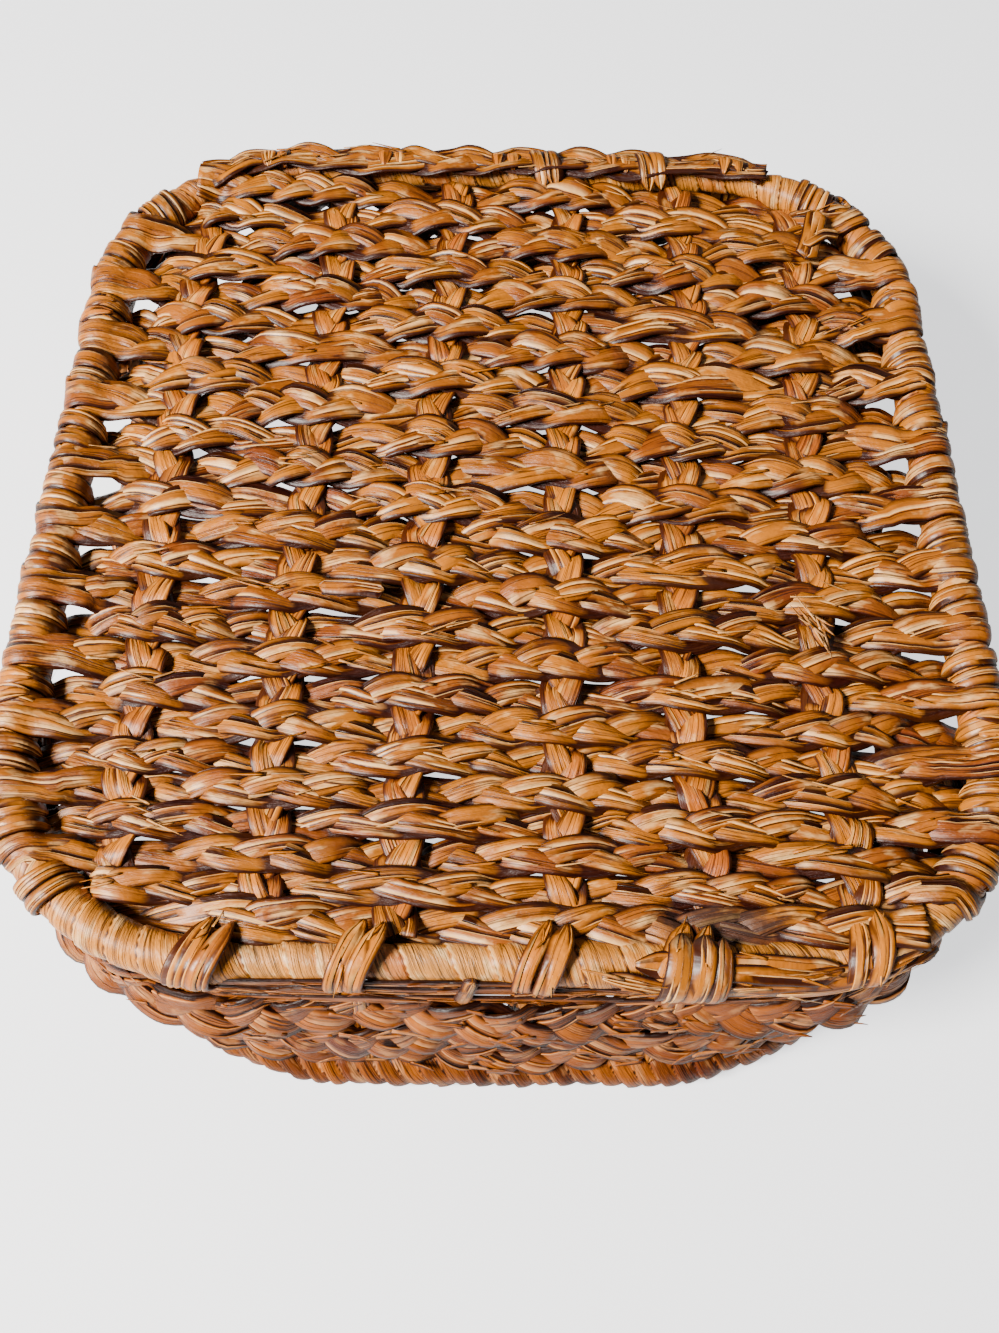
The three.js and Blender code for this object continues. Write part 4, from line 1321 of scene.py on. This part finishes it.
def wall_piece(side, row, begin, end):
    """One length of wall plait, made between two places of the loop."""
    node = f"{side}_wall_row_{row + 1}"
    low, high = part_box(node)
    path, along = wall_path(row, begin, end, (low.z + high.z) / 2 + WALL_RAISE[row])
    outward = np.cross(unit(np.gradient(path, axis=0)), UP)
    hint = np.array(UP) - WALL_LEAN * outward
    seed = WALL_SEED + 200 * row + (90 if side == "back" else 0)
    skins = plait(path, along, hint, WALL_WIDTHS[row], WALL_THICKNESS, WALL_REPEAT, seed,
                  reddish=0.05)
    skins += slivers(path, hint, WALL_WIDTHS[row], 0.42 * WALL_THICKNESS, WALL_SLIVERS, seed + 7,
                     long_mm=(6, 13), half_mm=(0.5, 1.7))
    make_piece(f"{node}_plait", skins, WALL_LEAF, [node])


quarter = LOOP_LENGTH / 4
wall_piece("front", 0, -quarter - 1 * MM, quarter + 1 * MM)
wall_piece("back", 0, quarter, 3 * quarter)
for row in (1, 2):
    wall_piece("front", row, upright_along["left_upright_front"] - LOOP_LENGTH - ROW_TAIL,
               upright_along["right_upright_front"] + ROW_TAIL)
    wall_piece("back", row, upright_along["right_upright_back"] - ROW_TAIL,
               upright_along["left_upright_back"] + ROW_TAIL)
print("wall rows made: 6")

# %% [markdown]
# ## Wound rings
#
# The rail and the rim are wires wound with leaf strip. The winding could be one long helical
# strip, but its inner side would never be seen. A single skin round the wire is enough: each
# turn of the strip lies on the edge of the turn before, so the radius falls along the strip and
# jumps up again where the next turn begins.
#
# The rail has two stretches of its own. Left of the front's middle it is bare of lashings, and the
# winding there is paler and smoother. At the back it is covered by a flat plait, so the winding is
# thinner beneath it.

# %% Wound rings
WINDING_STEP = 0.85 * MM
WINDING_SIDES = 28
WINDING_WANDER = 0.38
CALM_SEAM = 50 * MM
ZONE_EDGE = 8 * MM
RING_SWELL = 0.5 * MM
# A turn's ridge: how it falls, how much turns differ, how round its back is
RIDGE_FALL, TURN_UNLIKE, RIDGE_ROUND = 0.7, 0.4, 0.3
# The start of each turn is paler, as wear and painted highlight: over this share of the turn, by
# this strength
SHEEN_AND_WEAR_REACH, SHEEN_AND_WEAR_STRENGTH = 0.1, 0.5
# What a fully pale zone takes from the ridge and from the painted shade at each turn's end, and adds
# in paleness
ZONE_FLATTER, ZONE_LESS_DARK, ZONE_PALER = 0.4, 0.3, 0.28


def wound_ring(name, replaced, material, out, height, radius, strip, starts, relief, seed,
               lowest=None, zones=(), edge=0.84):
    """Skin round the loop: radius = core + relief * falling saw of (length / strip + lean). A
    zone is a stretch with a paler share and a drop in radius, and lowest is a flat foot."""
    rows = int(round(LOOP_LENGTH / WINDING_STEP))
    sides = WINDING_SIDES
    places = np.linspace(0.0, LOOP_LENGTH, rows + 1)
    turns = round(LOOP_LENGTH / strip)
    calm = np.clip(np.minimum(places, LOOP_LENGTH - places) / CALM_SEAM, 0, 1)
    winding = places / LOOP_LENGTH * turns + WINDING_WANDER * wander(places, 0.02, seed) * calm
    angle = 2 * math.pi * np.arange(sides + 1) / sides
    phase = winding[:, None] + starts * angle[None] / (2 * math.pi)
    share = phase - np.floor(phase)
    turn_number = np.floor(phase).astype(int) % turns
    rng = np.random.default_rng(seed + 1)
    size = rng.uniform(-1, 1, turns)[turn_number]
    ridge = (1 - share) ** RIDGE_FALL * (1 + TURN_UNLIKE * size)
    ridge = ridge + RIDGE_ROUND * np.sin(math.pi * share)
    plain, drop = np.zeros_like(places), np.zeros_like(places)
    for zone_begin, zone_end, zone_pale, zone_drop in zones:
        past = np.mod(places - zone_begin, LOOP_LENGTH)
        within = np.clip(np.minimum(past, zone_end - zone_begin - past) / ZONE_EDGE, 0, 1)
        plain += zone_pale * within
        drop += zone_drop * within
    ridge = ridge * (1 - ZONE_FLATTER * plain[:, None])
    swell = RING_SWELL * wander(places, 0.03, seed + 2)[:, None]
    distance = radius - relief + relief * ridge + swell - drop[:, None]
    outs = distance * np.cos(angle)[None] + out(places)[:, None]
    ups = distance * np.sin(angle)[None] + height
    if lowest is not None:
        ups = np.maximum(ups, lowest)
    points = loop_point(np.repeat(places, sides + 1), outs.ravel(), ups.ravel())
    # Painted shade where each turn runs under the next, from the share edge on, and a paler start of
    # each turn as wear and painted highlight
    hollow = np.clip((share - edge) / (0.9 * (1 - edge)), 0, 1)
    hollow -= SHEEN_AND_WEAR_STRENGTH * np.clip((SHEEN_AND_WEAR_REACH - share) / SHEEN_AND_WEAR_REACH, 0, 1)
    hollow = hollow * (1 - ZONE_LESS_DARK * plain[:, None]) - ZONE_PALER * plain[:, None]
    tone = np.clip(0.5 + 0.45 * rng.uniform(-1, 1, turns)[turn_number], 0, 1)
    across = phase * strip * CM_PER_M
    skin = {"rings": points.reshape(rows + 1, sides + 1, 3)[:rows, :sides],
            "hollow": hollow[:rows, :sides], "tone": tone[:rows, :sides], "across": across,
            "along": np.broadcast_to(angle[None] * radius * CM_PER_M, across.shape),
            "closed": True}
    make_piece(name, [skin], material, replaced)


# Begin and end along the loop, paler share and drop in radius
BARE_RAIL = (-88 * MM, 4 * MM, 0.8, 1.3 * MM)
COVERED_RAIL = (LOOP_LENGTH / 2 - 122 * MM, LOOP_LENGTH / 2 + 142 * MM, 0.0, 2.0 * MM)
wound_ring("rail_winding", ["rail_wrap_front", "rail_wrap_back"], RAIL_LEAF,
           out=np.zeros_like, height=RAIL_HEIGHT, radius=RAIL_RADIUS + 0.7 * MM, strip=13.0 * MM,
           starts=1, relief=0.8 * MM, seed=51, zones=(BARE_RAIL, COVERED_RAIL), edge=0.92)
wound_ring("rim_winding", ["rim_wrap_front", "rim_wrap_back"], WALL_LEAF,
           out=mouth_out, height=RIM_HEIGHT, radius=RIM_RADIUS + 0.8 * MM, strip=7.5 * MM,
           starts=4, relief=2.0 * MM, seed=77, lowest=0.0)
print("rings wound")

# %% [markdown]
# ## Leaf laid along the rail
#
# At the back a flat plait lies along the rail and hides the winding, and two short loops hold it
# down. At the front right some broad strips run along the rail under a wide lashing. They all
# follow the rail's surface, so one helper turns a place and an angle round the rail into a path,
# and the strips and the plait made before are laid along it.

# %% The plait on the back rail
COVER_REACH = (-116 * MM, 136 * MM)
COVER_ANGLE, COVER_SWAY = 84, 8
COVER_RADIUS = 7.6 * MM
COVER_WIDTH, COVER_THICKNESS, COVER_REPEAT = 17.5 * MM, 4.0 * MM, 74 * MM
# The two loops: how far each lies to the right of the back's middle, and its seed
COVER_LOOPS = ((17 * MM, 1800), (64 * MM, 1830))
COVER_LOOP_STRIPS = ((-3 * MM, 7 * MM), (3 * MM, 6.5 * MM))


def on_rail(begin, end, first, last, radius, sway, seed):
    """A path on the rail's surface from begin to end, its angle round the rail going evenly from
    first to last degrees, with the direction that lies across it."""
    places = np.arange(begin, end, RING_STEP)
    share = (places - begin) / (end - begin)
    degrees = first + (last - first) * share + sway * wander(places, 0.03, seed)
    points = rail_point(places, degrees, radius)
    radial = unit(points - loop_point(places, 0.0, RAIL_HEIGHT))
    return points, places - begin, np.cross(radial, unit(np.gradient(points, axis=0)))


begin, end = (LOOP_LENGTH / 2 + reach for reach in COVER_REACH)
points, along, hint = on_rail(begin, end, COVER_ANGLE, COVER_ANGLE, COVER_RADIUS, COVER_SWAY,
                              seed=61)
cover = plait(points, along, hint, COVER_WIDTH, COVER_THICKNESS, COVER_REPEAT, seed=1700)
cover += slivers(points, hint, width=14 * MM, height=1.6 * MM, count=24, seed=1760, up=UP)
for place, seed in COVER_LOOPS:
    cover += over_rail(LOOP_LENGTH / 2 - place, first=165, last=8, radius=10.2 * MM,
                       slant=5 * MM, seed=seed, strips=COVER_LOOP_STRIPS, thickness=2.2 * MM)
make_piece("back_rail_cover", cover, ROW_LEAF, ())
print("cover:", len(cover), "strands and slivers")

# %% Strips and a wide lashing at the front right
# Each strip: where it begins and ends in mm, its first and last angle, its width and its radius
FRONT_STRIPS = ((40, 104, 78, 64, 9.0, 8.4), (48, 128, 40, 48, 9.5, 8.0), (44, 96, 8, 22, 9.0, 8.2),
                (84, 136, 12, -4, 8.0, 8.3), (30, 60, 52, 20, 6.5, 9.0))
FRONT_STRIP_SWAY = 7
LAID_THICKNESS = 1.8 * MM
LASHING_STRIPS = ((-5.5 * MM, 8 * MM), (1.5 * MM, 8.5 * MM), (7.5 * MM, 6 * MM))

strips = []
for number, (begin, end, first, last, width, radius) in enumerate(FRONT_STRIPS):
    points, along, hint = on_rail(begin * MM, end * MM, first, last, radius * MM,
                                  FRONT_STRIP_SWAY, seed=1900 + number)
    strips += flat_strips(points, along, hint, (0.0,), width * MM, LAID_THICKNESS,
                          seed=1920 + 30 * number, folds=1.0)
    strips += slivers(points, hint, width * MM, height=1.0 * MM, count=8, seed=2100 + number)
strips += over_rail(58 * MM, first=130, last=-38, radius=10.6 * MM, slant=-4 * MM, seed=2200,
                    strips=LASHING_STRIPS, thickness=2.4 * MM)
make_piece("front_rail_strips", strips, ROW_LEAF, ())
print("front strips:", len(FRONT_STRIPS), "and the lashing")

# %% [markdown]
# ## Ends tucked under the rail
#
# Between the rail and the topmost wall plait the maker has pushed the ends of the leaf in
# sideways. Their dark leaf also serves as painted shade: it fills the gap where the shaded inside
# of the basket would show, and where the glowing table would otherwise shine through. The wall
# plait could be made wider instead, but then it would look like one smooth band. Nine flat strips
# on each side lie along the wall at different heights and cover one another.

# %% Tucked ends
# Each strip: where it begins and ends, its height and its width, all in millimetres
TUCKED = ((-134, -52, 75, 11), (-70, 22, 77, 12), (4, 84, 76, 11), (66, 140, 75, 12),
          (-112, -20, 69, 11), (16, 118, 69, 11), (-36, 44, 71, 10), (-136, -8, 82, 10),
          (-22, 134, 82, 10))
TUCKED_BOB = 1.5 * MM
TUCKED_OUT = 0.5 * MM
TUCKED_SEED, BACK_SEED_STEP = 2300, 400

for side, middle in (("front", 0.0), ("back", LOOP_LENGTH / 2)):
    tucked = []
    for number, (begin, end, height, width) in enumerate(TUCKED):
        own = TUCKED_SEED + 7 * number + (BACK_SEED_STEP if side == "back" else 0)
        places = np.arange(begin * MM, end * MM, RING_STEP) + middle
        level = height * MM + TUCKED_BOB * wander(places, 0.03, own)
        points = loop_point(places, leg_out(level, mouth_out(places)) + TUCKED_OUT, level)
        tucked += flat_strips(points, places - places[0], UP, (0.0,), width * MM, LAID_THICKNESS,
                              own + 20, folds=1.0)
        tucked += slivers(points, UP, width * MM, height=1.0 * MM, count=10, seed=own + 200,
                          long_mm=(6, 13), half_mm=(0.5, 1.5))
    # The dark wall leaf here is also painted shade, for the inside of the basket seen under the rail
    make_piece(f"{side}_tucked_ends", tucked, WALL_LEAF, ())
print("strips tucked under the rail:", 2 * len(TUCKED))

# %% [markdown]
# ## Loose ends
#
# A few ends were never worked in: a nub under the front rail, a cut stub near the back right
# corner, a flat strip with a square end on one of the front rows and a frayed knot near the right.
# Each is a strip along a few points, and the knot is a bunch of slivers.

# %% Loose ends
# Each strip: its points, what lies across it, its width, thickness and taper in mm, and its seed
LOOSE_STRIPS = (
    (((-9, -180, 88), (-11, -182.5, 82), (-12.5, -184, 73)), (1, 0, 0), 6, 3, 1.2, 2900),
    (((128, 121, 91), (131, 130, 94), (134, 142, 96)), (1, 0, 0), 9, 3, 1.2, 2910),
    (((127, 126, 93), (136, 131, 95), (143, 133, 92)), (0, 1, 0), 6, 2.4, 1.2, 2920),
    (((-66, -45, 91.5), (-54, -46.5, 93.2), (-43, -47.5, 92.4)), (0, 1, 0), 7.5, 2, 1.2, 2930),
    (((106, -55, 92), (110, -59, 94), (112, -66, 91)), (1, 0, 0), 6, 2.4, 5, 2940))
KNOT = ((104, -54, 93), (110, -60, 94), (114, -67, 92))
KNOT_WIDTH, KNOT_HEIGHT, KNOT_SLIVERS, KNOT_SEED = 7 * MM, 0.8 * MM, 18, 2950
LOOSE_STEP = 1.5 * MM
LOOSE_SOFTENING = 4 * MM

ends = []
for points, hint, width, thickness, taper, seed in LOOSE_STRIPS:
    path, along = even_path(np.array(points) * MM, LOOSE_STEP, LOOSE_SOFTENING)
    ends += flat_strips(path, along, hint, (0.0,), width * MM, thickness * MM, seed, folds=1.0,
                        taper=taper * MM)
knot, _ = even_path(np.array(KNOT) * MM, MM, LOOSE_SOFTENING)
ends += slivers(knot, (1, 0, 0), KNOT_WIDTH, KNOT_HEIGHT, KNOT_SLIVERS, KNOT_SEED, up=UP,
                long_mm=(5, 12))
make_piece("loose_ends", ends, ROW_LEAF, ())
print("loose ends made")

# %% [markdown]
# ## The hidden wires
#
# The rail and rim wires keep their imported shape. They only need a dull galvanised finish, a grey
# whose brightness and roughness follow one fine noise.

# %% Wire finish
SPANGLE_SCALE = 260.0
ZINC_METAL = 0.9
ZINC_DARK, ZINC_PALE = (132, 134, 136), (172, 174, 176)
# The noise values at which the roughness would be 0 and 1
ZINC_ROUGHNESS = (-0.6, 1.6)

wire, wire_tree, wire_shader = new_material("galvanised_wire")
wire_shader.inputs["Metallic"].default_value = ZINC_METAL
spangle, _ = object_noise(wire_tree, SPANGLE_SCALE)
zinc = blend_colour(wire_tree, spangle, srgb(*ZINC_DARK), srgb(*ZINC_PALE))
wire_tree.links.new(zinc, wire_shader.inputs["Base Color"])
wire_tree.links.new(spread(wire_tree, spangle, *ZINC_ROUGHNESS), wire_shader.inputs["Roughness"])
for name in ("rail_wire", "rim_wire"):
    for slot in nodes[name].material_slots:
        slot.material = wire
print("wires finished")

# %% [markdown]
# ## Floor and light
#
# The basket stands on a pale table, and the table seen through the gaps of the base is as bright
# as the table round it. A glowing table would do that, but its light would also fill the hollows
# of the weave from below, and these are dark. So the table and the room are bright only where the
# camera looks straight at them, and give the basket very little light. Its light comes from one
# window at the front left, small enough for crisp shadows between the strands, and from a weak
# lamp behind.

# %% Floor
FLOOR_HALF = 6.0
TABLE_COLOUR, TABLE_GLOW_COLOUR = (200, 200, 202), (240, 241, 244)
TABLE_ROUGHNESS = 0.8
# Strength of the glow for the light that it gives, and for the camera
TABLE_GLOW, TABLE_BRIGHTNESS = 0.08, 1.6


def seen_or_lighting(tree, lighting, seen, socket):
    """Feeds a strength: one value for the camera's own rays and another for all other rays."""
    ray = add_node(tree, "ShaderNodeLightPath")
    strength = add_node(tree, "ShaderNodeMapRange", inputs={"To Min": lighting, "To Max": seen})
    tree.links.new(ray.outputs["Is Camera Ray"], strength.inputs["Value"])
    tree.links.new(strength.outputs["Result"], socket)


floor_mesh = bpy.data.meshes.new("floor")
floor_mesh.from_pydata([(-FLOOR_HALF, -FLOOR_HALF, 0), (FLOOR_HALF, -FLOOR_HALF, 0),
                        (FLOOR_HALF, FLOOR_HALF, 0), (-FLOOR_HALF, FLOOR_HALF, 0)], [],
                       [(0, 1, 2, 3)])
floor = put_in_scene("floor", floor_mesh)
table, table_tree, table_shader = new_material("pale_table")
table_shader.inputs["Base Color"].default_value = srgb(*TABLE_COLOUR)
table_shader.inputs["Roughness"].default_value = TABLE_ROUGHNESS
table_shader.inputs["Emission Color"].default_value = srgb(*TABLE_GLOW_COLOUR)
seen_or_lighting(table_tree, TABLE_GLOW, TABLE_BRIGHTNESS,
                 table_shader.inputs["Emission Strength"])
floor_mesh.materials.append(table)
print("floor made")

# %% Lights
AIM = (0, 0, 0.08)
ROOM_COLOUR = (0.96, 0.95, 0.93, 1.0)
ROOM_LIGHT, ROOM_BRIGHTNESS = 0.07, 1.6
# Name, place in metres, size in metres, power in watts and colour
LAMPS = (("window", (-1.1, -0.5, 1.1), 0.5, 109.0, (1.0, 0.97, 0.92)),
         ("room", (0.9, 0.9, 1.4), 1.4, 4.0, (0.95, 0.97, 1.0)))


def area_light(name, place, size, power, colour):
    """A square soft light at a place, turned towards the basket."""
    data = bpy.data.lights.new(name, "AREA")
    data.size = size
    data.energy = power
    data.color = colour
    toward = unit(np.array(AIM, float) - np.array(place, float))
    side = unit(np.cross(toward, UP))
    put_in_scene(name, data).matrix_world = seated(side, np.cross(side, toward), -toward, place)


for lamp_values in LAMPS:
    area_light(*lamp_values)
world = bpy.data.worlds.new("room")
bpy.context.scene.world = world
world.use_nodes = True
backdrop = world.node_tree.nodes["Background"]
backdrop.inputs["Color"].default_value = ROOM_COLOUR
seen_or_lighting(world.node_tree, ROOM_LIGHT, ROOM_BRIGHTNESS, backdrop.inputs["Strength"])
print("lights:", len(LAMPS))
